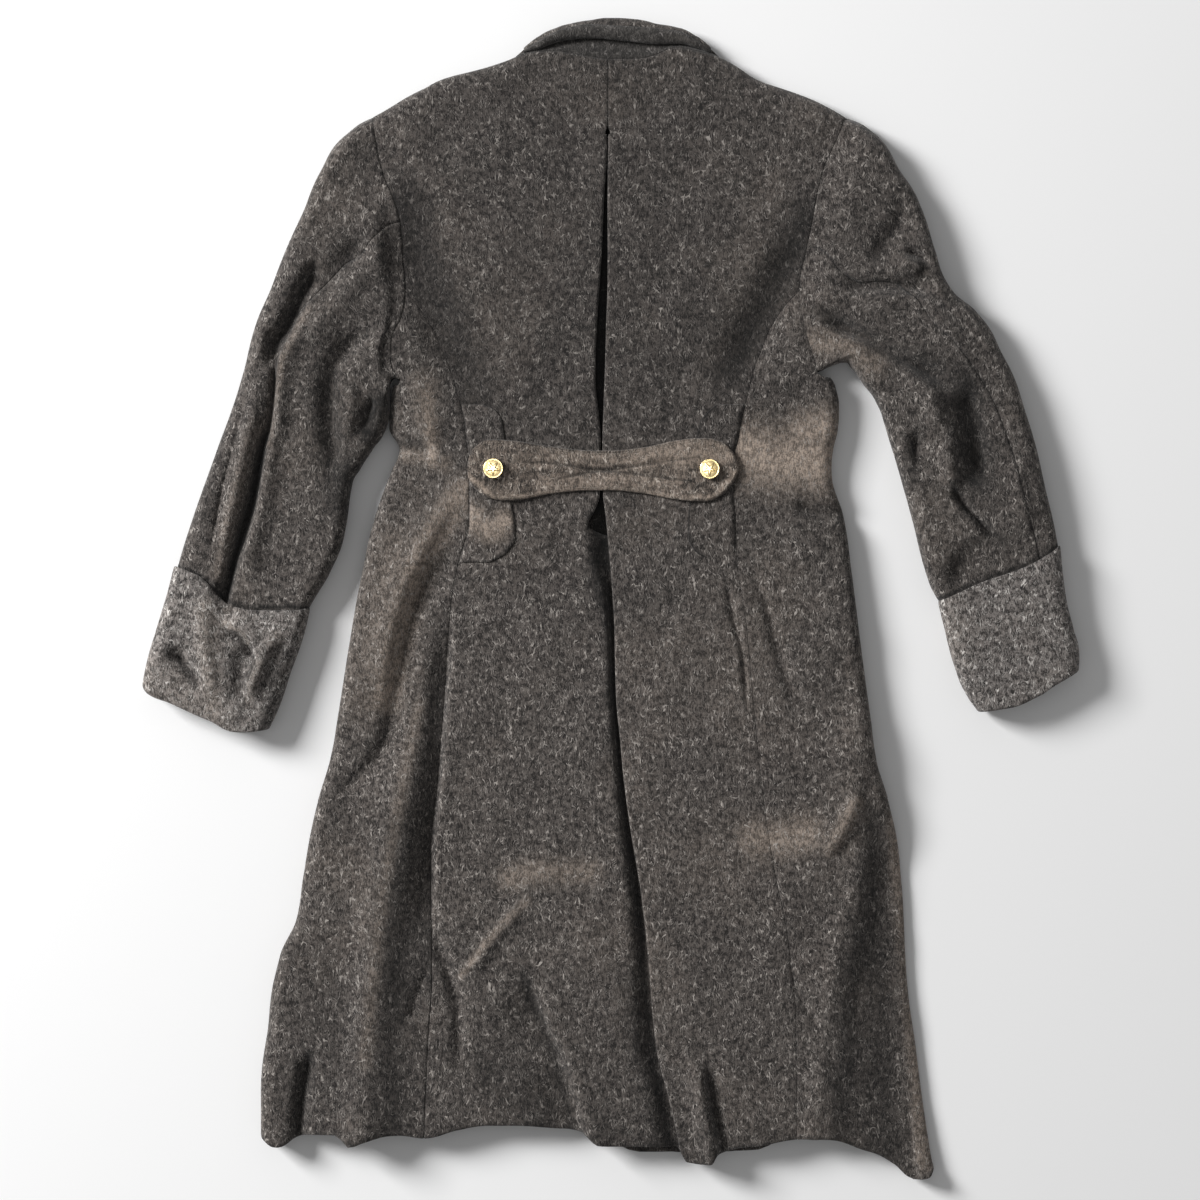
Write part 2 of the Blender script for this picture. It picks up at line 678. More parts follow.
def sew(sheets: Sequence[Sheet]) -> None:
    """Joins sheets where their rims meet in one line.

    Points that lie in one place share the mean normal, and each draws back into its own sheet
    by half the seam's gap, across the normal and the rim.

    Args:
        sheets: The sheets, changed in place.
    """
    spots, owners, places, tangents = [], [], [], []
    for number, sheet in enumerate(sheets):
        place = np.unique(np.concatenate(sheet.rim()))
        spots.append(sheet.points.reshape(-1, 3)[place])
        owners.append(np.full(len(place), number))
        places.append(place)
        tangents.append(sheet.rim_tangents()[place])
    spot, owner = np.concatenate(spots), np.concatenate(owners)
    place, tangent = np.concatenate(places), np.concatenate(tangents)
    _, group = np.unique(np.round(spot * SAME_PLACE), axis=0, return_inverse=True)
    group = group.reshape(-1)
    pairs = np.unique(np.stack([group, owner]), axis=1)
    shared = np.bincount(pairs[0], minlength=group.max() + 1)[group] > 1
    normal = np.stack([sheets[o].normals.reshape(-1, 3)[p] for o, p in zip(owner, place)])
    mean = np.zeros((group.max() + 1, 3))
    np.add.at(mean, group, normal)
    mean = unit(mean)
    aside = unit(np.cross(mean[group], tangent))
    for number, sheet in enumerate(sheets):
        mine = shared & (owner == number)
        sheet.normals.reshape(-1, 3)[place[mine]] = mean[group[mine]]
        sheet.points.reshape(-1, 3)[place[mine]] += aside[mine] * SEAM_GAP / 2
        sheet.seamed.reshape(-1)[place[mine]] = True


@dataclass(frozen=True)
class Ground:
    """Places the coat's own millimetres in the frame's metres."""

    shift: Array

    @classmethod
    def measured(cls) -> "Ground":
        """The shift that puts the left belt button where the frame has it."""
        low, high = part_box("belt_button_left")
        x, y = BUTTONS[Side.LEFT]
        middle = [(low[i] + high[i]) / 2 for i in (0, 1)]
        return cls(np.array([middle[0] - x / 1000, middle[1] - y / 1000, 0.0]))

    def place(self, points: Array) -> Array:
        """Points in metres in the frame."""
        return points / 1000 + self.shift


BUTTONS = {Side.LEFT: (-117.0, 144.0), Side.RIGHT: (120.0, 143.5)}
ground = Ground.measured()


def make_object(name: str, points: Array, quads: Array,
                marks: dict[str, Array]) -> bpy.types.Object:
    """Makes a mesh object of four-sided faces.

    Args:
        name: The object's name.
        points: Corners in millimetres.
        quads: Four corner numbers a face.
        marks: Named numbers, one a corner.

    Returns:
        The object, at the origin and smooth.
    """
    mesh = bpy.data.meshes.new(name)
    mesh.vertices.add(len(points))
    mesh.vertices.foreach_set("co", ground.place(points).astype(np.float32).ravel())
    mesh.loops.add(quads.size)
    mesh.loops.foreach_set("vertex_index", quads.astype(np.int32).ravel())
    mesh.polygons.add(len(quads))
    mesh.polygons.foreach_set("loop_start", np.arange(0, quads.size, 4, dtype=np.int32))
    mesh.update(calc_edges=True)
    mesh.validate()
    mesh.shade_smooth()
    for mark, values in marks.items():
        layer = mesh.attributes.new(mark, "FLOAT", "POINT")
        layer.data.foreach_set("value", values.astype(np.float32).ravel())
    made = bpy.data.objects.new(name, mesh)
    bpy.context.scene.collection.objects.link(made)
    return made


def thicken(sheet: Sheet) -> bpy.types.Object:
    """Gives a sheet its wall.

    Both faces stand half the wall off the mid-surface along the normals, less near the rim by
    a bell of the distance, and a row of points bulging out between them closes the rim.

    Args:
        sheet: The sheet.

    Returns:
        The piece.
    """
    used = np.zeros(sheet.points.shape[:2], bool)
    for r, c in CELL_CORNERS:
        used[r:r + sheet.keep.shape[0], c:c + sheet.keep.shape[1]] |= sheet.keep
    away = sheet.rim_distance()
    half = sheet.wall / 2 * (1 - sheet.roll * np.exp(-((away / ROLL_REACH) ** 2)))
    relief = np.zeros_like(half) if sheet.relief is None else sheet.relief
    outer = sheet.points + sheet.normals * (half + relief)[..., None]
    inner = sheet.points - sheet.normals * half[..., None]

    count = int(used.sum())
    number = np.full(used.shape, -1)
    number[used] = np.arange(count)
    flat_number = number.reshape(-1)
    k = sheet.keep
    corners = (number[:-1, :-1][k], number[:-1, 1:][k], number[1:, 1:][k], number[1:, :-1][k])
    upper = np.stack(corners, axis=-1)
    lower = upper[:, ::-1] + count

    starts, ends = sheet.rim()
    rim = np.unique(np.concatenate((starts, ends)))
    out = unit(-np.cross(sheet.normals.reshape(-1, 3)[rim], sheet.rim_tangents()[rim]))
    bulge = np.where(sheet.seamed.reshape(-1)[rim], SEAM_GAP / 2, sheet.wall * RIM_BULGE)
    middle = sheet.points.reshape(-1, 3)[rim] + out * bulge[:, None]
    rim_number = np.full(used.size, -1)
    rim_number[rim] = 2 * count + np.arange(len(rim))
    a, b = flat_number[starts], flat_number[ends]
    ma, mb = rim_number[starts], rim_number[ends]
    near_outer = np.stack([a, ma, mb, b], axis=-1)
    near_inner = np.stack([ma, a + count, b + count, mb], axis=-1)

    points = np.concatenate((outer[used], inner[used], middle))
    quads = np.concatenate((upper, lower, near_outer, near_inner))
    up = sheet.normals[..., 2] > 0
    edge = np.exp(-((away / EDGE_MARK_REACH) ** 2)) * sheet.roll / ROLL
    worn, dark, none = shown(WORN_PLACES, sheet), shown(DARK_PLACES, sheet), np.zeros_like(away)
    faces = {"edge": (edge, none), "worn": (worn * up, none), "dark": (dark * up, dark * ~up)}
    marks = {
        mark: np.concatenate((outside[used], inside[used], outside.reshape(-1)[rim]))
        for mark, (outside, inside) in faces.items()
    }
    return make_object(sheet.name, points, quads, marks)


# Body


@dataclass(frozen=True)
class Levels:
    """Level lines of one half from the hem up, and where its named levels fall among them."""

    y: Array
    edge_start: int
    underarm: int
    seam_top: int
    pleat_top: int
    tip: int

    @classmethod
    def of(cls, side: Side) -> "Levels":
        """Even steps between the named levels of a side, closer by the shoulder."""
        underarm = UNDERARM_Y[side]
        edge_start = underarm - UNDERARM_RECESS
        stops = (HEM_Y, WAIST_Y, edge_start, underarm, SEAM_TOP_Y, PLEAT_TOP_Y, SHOULDER_Y,
                 NECK_Y)
        parts, marks = [], [0]
        for low, high in zip(stops, stops[1:]):
            step = SHOULDER_STEP if low >= SHOULDER_Y else GRAIN
            parts.append(np.linspace(low, high, max(2, round((high - low) / step)) + 1)[:-1])
            marks.append(marks[-1] + len(parts[-1]))
        y = np.concatenate((*parts, [NECK_Y]))
        return cls(y, *marks[2:7])


def clustered(count: int, pull: float = 0.6) -> Array:
    """Shares from 0 to 1, closer together at both ends: t less pull sin(2 pi t) / (2 pi)."""
    t = np.linspace(0, 1, count + 1)
    return t - pull * np.sin(2 * math.pi * t) / (2 * math.pi)


@dataclass
class BackHalf:
    """Half of the back, from the side seam to the centre, where it folds under.

    Rows are level lines and columns run towards the centre: across the back, round the pressed
    fold as a half circle, and back along its inner layer.
    """

    side: Side
    columns: int = 84
    turn: int = 8
    inner: int = 6
    pleat_return: float = 44.0
    underlap_return: float = 12.0
    underlap_depth: float = 12.5
    opens_over: float = 12.0
    vent_top: float = 92.0
    vent_run: float = 30.0
    dip_top: float = 90.0
    dip_run: float = 14.0
    dip_end: float = 2.0

    def grid(self) -> tuple[Array, Levels]:
        """Points of the mid-surface and their level lines."""
        side, sign = self.side, self.side.inward
        level = Levels.of(side)
        y = level.y[:, None]
        number = np.arange(len(level.y))[:, None]
        pleated = smooth((PLEAT_TOP_Y + self.opens_over - y) / self.opens_over)
        underlap = smooth((self.vent_top - y) / self.vent_run) * (side is Side.LEFT)
        end = centre_back[side](y) - sign * (FOLD_RADIUS + CLOTH / 2) * pleated
        start = np.where(
            number >= level.tip, shoulder_line[side](y),
            np.where(number > level.seam_top, armhole[side](y), side_back_seam[side](y)))
        over = centre_back[Side.RIGHT](y)

        across = mix(start, end, clustered(self.columns)[None, :])
        angle = np.linspace(0, math.pi, self.turn + 1)[None, 1:-1]
        bend = end + sign * FOLD_RADIUS * np.sin(angle)
        back = mix(self.pleat_return, self.underlap_return, underlap)
        layer = end - sign * back * np.linspace(0, 1, self.inner + 1)[None, :]
        x = np.concatenate((across, bend, layer), axis=1)
        drop = np.concatenate((
            np.zeros(self.columns + 1), (FOLD_RADIUS * (1 - np.cos(angle)))[0],
            np.full(self.inner + 1, LAYER_PITCH)))[None, :]
        real = settled(x, y)
        height = upper_height(side, x, real)
        if side is Side.LEFT:
            low = np.minimum(height - 2 * LAYER_PITCH, lie(y) - self.underlap_depth)
            dip = underlap_dip(y)
            under = (smooth((x - over + dip) / (dip - self.dip_end))
                     * smooth((self.dip_top - y) / self.dip_run))
            height = mix(height, low, under)
        return np.stack([x, real, height - drop], axis=-1), level

    def sheet(self) -> tuple[Sheet, Array, Levels]:
        """The half as a sheet with its faces up, its own grid, and its level lines."""
        points, level = self.grid()
        rows, columns = points.shape[0] - 1, points.shape[1] - 1
        keep = np.ones((rows, columns), bool)
        keep[level.pleat_top:, self.columns:] = False
        turned = self.side is Side.RIGHT
        made = Sheet(self.side.name("back"), faced(points, turned), faced(keep, turned))
        return made, points, level


@dataclass
class FrontHalf:
    """One front with the skirt's side.

    Columns run out from the side seam over the skirt, round the side edge as a half ellipse,
    and back along the floor to the overlap. Above the underarm the armhole ends the cloth.
    """

    side: Side
    columns: int = 36
    turn: int = 14
    floor: int = 34
    lift_reach: float = 16.0
    lift_margin: float = 3.0
    least_radius: float = 5.0
    radius_run: float = 40.0

    def grid(self) -> tuple[Array, Levels]:
        """Points of the mid-surface and their level lines."""
        side, sign = self.side, self.side.inward
        level = Levels.of(side)
        y = level.y[:, None]
        number = np.arange(len(level.y))[:, None]
        above = number > level.edge_start
        edge = side_edge[side](y) + sign * CLOTH / 2
        opening = armhole[side](y)
        underarm = level.y[level.underarm]
        radius = mix(self.least_radius, EDGE_RADIUS, smooth((underarm - y) / self.radius_run))
        inner = np.where(number > level.seam_top, opening, side_back_seam[side](y))
        outer = np.where(above, opening, edge + sign * radius)

        x_top = mix(inner, outer, clustered(self.columns)[None, :])
        y_top = settled(x_top, y)
        z_top = upper_height(side, x_top, y_top)

        low = CLOTH / 2
        angle = np.linspace(0, math.pi, self.turn + 1)[None, 1:-1]
        x_turn = outer - sign * radius * np.sin(angle)
        z_turn = low + (z_top[:, -1:] - low) * (1 + np.cos(angle)) / 2

        foot = np.where(number >= level.tip, shoulder_line[side](y),
                        np.where(above, opening, edge + sign * radius))
        share = np.linspace(0, 1, self.floor + 1)[None, :]
        end = front_edge[side](y)
        x_floor = mix(foot, end, share)
        y_floor = settled_front(x_floor, y, share)
        y_floor[:, 0] = settled(x_floor[:, :1], y)[:, 0]
        z_floor = lower_height(side, x_floor, y_floor)
        if side is Side.RIGHT:
            full = FRONT_EDGE[-1][1] + self.lift_margin
            z_floor += (CLOTH + LAYER_GAP) * (1 - smooth((x_floor - full) / self.lift_reach))

        parts = ((x_top, y_top, z_top), (x_turn, settled(x_turn, y), z_turn),
                 (x_floor, y_floor, z_floor))
        return np.concatenate([grid_of(*part) for part in parts], axis=1), level

    def sheet(self) -> tuple[Sheet, Array, Levels]:
        """The front as a sheet, its own grid, and its level lines."""
        points, level = self.grid()
        keep = np.ones((points.shape[0] - 1, points.shape[1] - 1), bool)
        keep[level.seam_top:, :self.columns] = False
        keep[level.edge_start:, self.columns:self.columns + self.turn] = False
        turned = self.side is Side.LEFT
        made = Sheet(self.side.name("front"), faced(points, turned), faced(keep, turned))
        return made, points, level


# Sleeves and cuffs


@dataclass(frozen=True)
class SleevePlan:
    """A sleeve's outline from the armhole to the wrist, its seam and its folds.

    hind_seam gives, along the sleeve's length, the seam's share of the way across it, and
    seam_roll how far its rims thin.
    """

    outer: Path
    inner: Path
    end: Path
    hind_seam: Path
    folds: tuple[Fold, ...]
    seam_roll: float


SLEEVES = {
    Side.LEFT: SleevePlan(
        outer=((-250, 530), (-272, 517), (-306, 473), (-325, 429), (-345, 385), (-362, 341),
               (-380, 297), (-391, 253), (-421, 165), (-452, 77), (-464, 38), (-470, 18)),
        inner=((-219, 243), (-224, 245), (-229.5, 241), (-231.5, 225), (-233, 207), (-236, 187),
               (-249, 165), (-263, 143), (-274, 121), (-280, 77), (-295, 33), (-320.5, -11),
               (-327, -34)),
        end=((-470, 18), (-440, 8), (-410, -18), (-372, -36), (-327, -34)),
        hind_seam=((0, 0.4), (0.1, 0.395), (0.2, 0.323), (0.3, 0.265), (0.4, 0.22), (0.5, 0.228),
                   (0.6, 0.26), (0.7, 0.305), (0.8, 0.33), (0.9, 0.39), (1, 0.42)),
        folds=LEFT_SLEEVE_FOLDS,
        seam_roll=0.1,
    ),
    Side.RIGHT: SleevePlan(
        outer=((270, 530), (296, 517), (329, 473), (354, 429), (368, 385), (387, 341),
               (412, 319), (440, 275), (467, 209), (490, 121), (503, 62), (507, 38)),
        inner=((238, 252), (254, 259), (268, 262), (285, 253), (303, 231), (318, 209),
               (326, 187), (331, 165), (341, 121), (351, 77), (363.5, 20), (370, 4),
               (376.5, -7), (382, -28)),
        end=((507, 38), (482, 20), (429, -6), (382, -28)),
        hind_seam=((0, 0.51), (0.05, 0.575), (0.1, 0.61), (0.15, 0.59), (0.2, 0.508),
                   (0.25, 0.408), (0.3, 0.33), (0.4, 0.235), (0.5, 0.22), (0.6, 0.188),
                   (0.8, 0.177), (1, 0.19)),
        folds=RIGHT_SLEEVE_FOLDS,
        seam_roll=0.5,
    ),
}


def patch(start: Array, end: Array, outer: Callable, inner: Callable, w: Array,
          v: Array) -> Array:
    """Plan of a four-sided patch: the two blends of opposite sides less the corners' blend.

    Args:
        start: The side at v 0, a point for each w.
        end: The side at v 1, a point for each w.
        outer: The side at w 0, read by v.
        inner: The side at w 1, read by v.
        w: Shares across.
        v: Shares down.

    Returns:
        The plan points, with their two numbers on the last axis.
    """
    w, v = w[..., None], v[..., None]
    across = mix(outer(v[..., 0]), inner(v[..., 0]), w)
    down = mix(start, end, v)
    corner = mix(mix(outer(np.zeros(1)), outer(np.ones(1)), v),
                 mix(inner(np.zeros(1)), inner(np.ones(1)), v), w)
    return across + down - corner


@dataclass
class Sleeve:
    """A sleeve as a ring of columns, sewn to the armhole's own points.

    The ring runs over the upper side from the shoulder tip to the underarm, round the inner
    turn, and back along the lower side to the shoulder tip. settle gives the shares of its
    length over which its height, its folds, its inner turn and its seam leave the armhole's.
    """

    side: Side
    rows: int = 140
    turn: int = 12
    inner_turn: float = 12.0
    end_rise: float = 3.6
    least_room: float = 4.5
    armpit: float = 3.0
    fade: float = 26.0
    settle: tuple[float, ...] = (0.3, 0.08, 0.2, 0.12)
    ending: tuple[float, float] = (0.84, 0.08)
    look: float = 0.02

    def ring(self, upper: Array, lower: Array) -> tuple[Array, int, int]:
        """The ring's points.

        Args:
            upper: Armhole points of the upper cloth, from the shoulder tip down.
            lower: Armhole points of the cloth on the floor, from the shoulder tip down.

        Returns:
            The grid, the hind seam's column and the fore seam's column.
        """
        plan, sign = SLEEVES[self.side], self.side.inward
        v = np.linspace(0, 1, self.rows + 1)[:, None]
        away, clear, turned, shifted = (smooth(v / share) for share in self.settle)
        ending = smooth((v - self.ending[0]) / self.ending[1])
        floor = CLOTH / 2 + self.end_rise * ending
        ceiling = SLEEVE_HEIGHT - self.end_rise * ending
        middle = mix(SHOULDER_SEAM_Z, (ceiling + floor) / 2, away)
        foot = upper[-1]
        outer = traced((tuple(upper[0][:2]), *plan.outer[1:]))
        inner = traced((tuple(foot[:2]), *plan.inner[1:]))
        end = traced(plan.end)
        o, i = outer(v[:, 0]), inner(v[:, 0])
        width = np.hypot(*(i - o).T)[:, None]
        inset = CLOTH / 2 * away
        tuck = self.inner_turn * turned

        sides = []
        for k, line in enumerate((upper, lower)):
            run = run_of(line[:, :2])
            share = run / run[-1]
            seam = int(np.argmax(share > plan.hind_seam[0][1]))
            path = curve(plan.hind_seam)(v)
            before = share[None, :] * path / share[seam]
            after = 1 - (1 - share[None, :]) * (1 - path) / (1 - share[seam])
            moved = mix(share[None, :], np.where(share[None, :] < share[seam], before, after),
                        shifted)
            w = (inset + moved * (width - 2 * inset - tuck)) / width
            start = np.stack([np.interp(w, share, line[:, 0]), np.interp(w, share, line[:, 1])],
                             axis=-1)
            xy = patch(start, end(w), outer, inner, w, np.broadcast_to(v, w.shape))
            x, y = xy[..., 0], xy[..., 1]
            d = moved * width
            fold = folded(plan.folds, x, y) + uneven(x, y) * clear
            fold = fold * smooth((width - d) / self.fade) * smooth(d / self.fade)
            top = np.maximum(ceiling + np.minimum(fold, fold * (1 - ending)),
                             floor + CLOTH + self.least_room)
            free = mix(middle, top if k == 0 else np.broadcast_to(floor, top.shape),
                       quarter_round(d, SLEEVE_EDGE))
            held = np.where(np.arange(len(line))[None, :] == 0, away, clear)
            z = mix(line[None, :, 2], free, held)
            sides.append(np.stack([x, y, z], axis=-1))
            if k == 0:
                hind = seam

        top, foot_line = sides[0][:, -1:], sides[1][:, -1:]
        step = unit(inner(np.clip(v[:, 0] + self.look, 0, 1))
                    - inner(np.clip(v[:, 0] - self.look, 0, 1)))
        out = np.stack([-sign * step[:, 1], sign * step[:, 0]], axis=-1)[:, None, :]
        angle = (np.pi * np.arange(1, self.turn) / self.turn)[None, :, None]
        share = (1 - np.cos(angle)) / 2
        bend = mix(top, foot_line, share)
        reach = (self.inner_turn * turned)[..., None] * np.sin(angle)
        aside = (self.armpit * (1 - turned))[..., None] * np.sin(angle)
        bend[..., :2] += out * reach
        bend[..., 0:1] -= sign * aside
        grid = np.concatenate((sides[0], bend, sides[1][:, ::-1]), axis=1)
        return grid, hind, len(upper) + self.turn

    def sheets(self, upper: Array, lower: Array) -> list[Sheet]:
        """The top sleeve, which crosses the outer edge, and the under sleeve.

        Args:
            upper: Armhole points as ring takes them, of the upper cloth.
            lower: The same, of the cloth on the floor.

        Returns:
            The two sheets.
        """
        grid, hind, fore = self.ring(upper, lower)
        top = np.concatenate((grid[:, fore:], grid[:, 1:hind + 1]), axis=1)
        pieces = {"sleeve_top": top, "sleeve_under": grid[:, hind:fore + 1]}
        return [Sheet(self.side.name(name), faced(points, self.side is Side.LEFT),
                      roll=SLEEVES[self.side].seam_roll) for name, points in pieces.items()]


@dataclass(frozen=True)
class CuffPlan:
    """A cuff's four edges in plan."""

    outer: Path
    inner: Path
    top: Path
    wrist: Path


CUFFS = {
    Side.LEFT: CuffPlan(
        outer=((-468.5, 37), (-475, 11), (-488, -33), (-500, -77), (-503, -94)),
        inner=((-318.5, -9), (-324, -33), (-339, -77), (-354, -121), (-364, -142)),
        top=((-468.5, 37), (-449, 30), (-432, 20), (-418, 3), (-396, -9), (-372, -12),
             (-340, -12), (-318.5, -9)),
        wrist=((-503, -94), (-494, -104), (-474, -112), (-427, -133), (-393, -145),
               (-364, -142)),
    ),
    Side.RIGHT: CuffPlan(
        outer=((506, 60), (511, 11), (521, -33), (527, -62), (526, -78)),
        inner=((371.5, -2), (379, -33), (391, -77), (404, -106), (416, -123)),
        top=((506, 60), (482, 44), (448, 29), (424, 21), (386, 4), (371.5, -2)),
        wrist=((526, -78), (497, -95), (478, -107), (440, -120), (416, -123)),
    ),
}


@dataclass
class Cuff:
    """A turn-back cuff: a flattened tube outside the sleeve's end, its wrist edge turned in.

    Each ring runs from the outer edge over the top to the inner edge and back underneath.
    """

    side: Side
    rows: int = 34
    columns: int = 34
    edge_steps: int = 8
    fold_steps: int = 8
    height: float = 33.0
    edge: float = 15.0
    turned_in: float = 22.0
    tuck_rows: int = 7
    fade_from: float = 6.0
    fade: float = 20.0
    folds_end: tuple[float, float] = (0.95, 0.3)
    waves: float = 0.6
    look: float = 0.1

    def ring(self, v: Array, inset: Array, reach: Array) -> Array:
        """Rings of points.

        Args:
            v: Shares down the cuff.
            inset: How far each ring lies inside the cuff's outer wall.
            reach: How far each ring is moved on past its place.

        Returns:
            The rings, one a row.
        """
        plan = CUFFS[self.side]
        top, wrist = traced(plan.top), traced(plan.wrist)
        outer, inner = traced(plan.outer), traced(plan.inner)
        v, inset, reach = v[:, None], inset[:, None], reach[:, None]

        def spread(share: Array, level: Array) -> Array:
            """Plan points across the cuff."""
            return patch(top(share), wrist(share), outer, inner, share, level)

        ends = spread(np.broadcast_to([0.0, 1.0], (len(v), 2)), np.broadcast_to(v, (len(v), 2)))
        width = np.hypot(*(ends[:, 1] - ends[:, 0]).T)[:, None]
        low, high = CLOTH / 2 + inset, self.height - inset
        margin = CLOTH / 2 + inset
        angle = np.linspace(0, math.pi / 2, self.edge_steps + 1)[None, :-1]
        near = margin + self.edge * (1 - np.cos(angle))
        flat = mix(margin + self.edge, width - margin - self.edge,
                   np.linspace(0, 1, self.columns + 1)[None, :])
        d = np.concatenate((near, flat, width - near[:, ::-1]), axis=1)
        rise = np.concatenate((np.sin(angle[0]), np.ones(self.columns + 1),
                               np.sin(angle[0, ::-1])))[None, :]
        halves = []
        for over in (True, False):
            share = d / width
            level = np.broadcast_to(v, share.shape)
            xy = spread(share, level)
            step = unit(xy - spread(share, level - self.look))
            x, y = xy[..., 0], xy[..., 1]
            fade = (smooth((d - self.fade_from) / self.fade)
                    * smooth((width - d - self.fade_from) / self.fade)
                    * smooth((self.folds_end[0] - v) / self.folds_end[1]))
            shape = folded(CUFF_FOLDS, x, y) + self.waves * uneven(x, y)
            height = high + shape * fade if over else np.broadcast_to(low, d.shape)
            z = mix((low + high) / 2, height, rise)
            halves.append(np.concatenate((xy + step * reach[..., None], z[..., None]), axis=-1))
        over, beneath = halves
        return np.concatenate((over, beneath[:, ::-1][:, 1:]), axis=1)

    def sheet(self) -> Sheet:
        """The cuff as a sheet that closes on itself at the outer edge."""
        share = np.linspace(0, 1, self.rows + 1)
        hold = FOLD_RADIUS + CLOTH / 2
        angle = np.linspace(0, math.pi, self.fold_steps + 1)[1:-1]
        v = np.concatenate((share, np.ones(len(angle) + self.tuck_rows)))
        inset = np.concatenate((np.zeros_like(share), FOLD_RADIUS * (1 - np.cos(angle)),
                                np.full(self.tuck_rows, LAYER_PITCH)))
        reach = np.concatenate((-hold * share**4, FOLD_RADIUS * np.sin(angle) - hold,
                                -hold - self.turned_in * np.linspace(0, 1, self.tuck_rows)))
        rings = faced(self.ring(v, inset, reach), self.side is Side.LEFT)
        return Sheet(self.side.name("cuff"), rings, sewn=False)


# Pieces that lie on the back


@dataclass
class Underlay:
    """The strip of cloth behind the centre pleat, which sags between the pleat's folds."""

    top: float = 506.0
    bottom: float = 96.0
    half: float = 40.0
    sag: float = 9.0
    sag_width: float = 16.0
    sag_run: float = 60.0
    rows: int = 99
    columns: int = 32

    def sheet(self) -> Sheet:
        """The strip, a layer below the pleat's folds."""
        y = np.linspace(self.bottom, self.top, self.rows + 1)[:, None]
        middle = (centre_back[Side.LEFT](y) + centre_back[Side.RIGHT](y)) / 2
        across = np.linspace(-self.half, self.half, self.columns + 1)[None, :]
        x = middle + across
        deep = (self.sag * np.exp(-((across / self.sag_width) ** 2))
                * smooth((self.top - y) / self.sag_run))
        z = upper_height(Side.LEFT, x, y) - LAYER_PITCH - CLOTH - LAYER_GAP - deep
        return Sheet("pleat_underlay", grid_of(x, y, z), sewn=False)


@dataclass
class Flap:
    """A scalloped flap sewn in at the side seam, under the belt."""

    side: Side
    thick: float = 2.2
    gap: float = 0.1
    top: float = 214.0
    bottom: float = 42.0
    seam: float = 1.2
    rows: int = 90
    columns: int = 24
    pressed_share: float = 0.07
    pressed_run: float = 34.0
    pressed_least: float = 0.1

    def sheet(self) -> Sheet:
        """The flap on the back, its right one pressed flat at the bottom."""
        y = mix(self.bottom, self.top, clustered(self.rows, 0.85))[:, None]
        start = side_back_seam[self.side](y) + self.side.inward * self.seam
        end = flap_edge[self.side](y)
        share = np.linspace(0, 1, self.columns + 1)[None, :]
        x = mix(start, end, share)
        lift = CLOTH / 2 + self.gap + self.thick / 2
        pressed = smooth(share / self.pressed_share)
        if self.side is Side.RIGHT:
            pressed = pressed * smooth(self.pressed_least + (y - self.bottom) / self.pressed_run)
        z = upper_height(self.side, x, y) + lift * pressed
        points = faced(grid_of(x, y, z), self.side is Side.RIGHT)
        return Sheet(self.side.name("belt_flap"), points, wall=self.thick, sewn=False)


@dataclass
class HalfBelt:
    """The half-belt: double cloth, wide round ends, drawn in at the middle."""

    thick: float = 4.4
    gap: float = 0.5
    flap: float = 2.2
    columns: int = 200
    rows: int = 40
    middle: float = 4.0
    plain: float = 70.0
    rise_run: float = 26.0
    pull: float = 0.9

    def height(self, x: Array, y: Array) -> Array:
        """Mid-surface height, over the flaps towards the ends."""
        over_flap = smooth((np.abs(x - self.middle) - self.plain) / self.rise_run)
        under = CLOTH / 2 + LAYER_GAP + over_flap * (self.flap + self.gap)
        return back_height(x, y, self.middle) + under + self.thick / 2

    def across(self) -> Array:
        """Places along the belt, closer together at its ends."""
        return mix(BELT_OUTLINE[0][0], BELT_OUTLINE[-1][0], clustered(self.columns, self.pull))

    def edge_row(self, inset: float) -> Array:
        """A line round the belt's top face, in from its edge by inset."""
        x = self.across()
        line = np.concatenate((np.stack([x, belt_top(x)], axis=-1),
                               np.stack([x, belt_bottom(x)], axis=-1)[::-1]))
        step = unit(np.roll(line, -3, axis=0) - np.roll(line, 3, axis=0))
        line = line + np.stack([step[:, 1], -step[:, 0]], axis=-1) * inset
        line = np.concatenate((line, line[:1]))
        x, y = line[:, 0], line[:, 1]
        face = self.height(x, y) + self.thick / 2 * (
            1 - ROLL * math.exp(-((inset / ROLL_REACH) ** 2)))
        return np.stack([x, y, face + folded(BELT_CREASES, x, y)], axis=-1)

    def sheet(self) -> Sheet:
        """The belt with the creases that meet at its middle."""
        x = self.across()[None, :]
        share = np.linspace(0, 1, self.rows + 1)[:, None]
        y = mix(belt_bottom(x), belt_top(x), share)
        x = np.broadcast_to(x, y.shape)
        return Sheet("half_belt", grid_of(x, y, self.height(x, y)), wall=self.thick, sewn=False,
                     relief=folded(BELT_CREASES, x, y))


BELT_CREASES = (
    Fold(-2.0, 2.6, 2.0, ((-84, 152), (-60, 152), (-30, 147), (-2, 143), (30, 146), (72, 153),
                          (108, 158))),
    Fold(-2.0, 2.0, 2.6, ((-46, 133), (-20, 138), (2, 142), (36, 139), (74, 134), (100, 131))),
    Fold(0.8, 5.0, 5.0, ((-66, 160), (-20, 154), (30, 154), (90, 165))),
    Fold(0.9, 6.0, 4.0, ((-95, 142), (-50, 143), (-14, 143))),
    Fold(0.9, 4.0, 6.0, ((16, 142), (50, 145), (90, 146))),
    Fold(0.7, 5.0, 5.0, ((-50, 126), (0, 131), (60, 124))),
)


@dataclass(frozen=True)
class CollarLine:
    """A line along the collar, a share of the way between two named edges, and its heights."""

    near: str
    far: str
    share: float
    low: float
    high: float


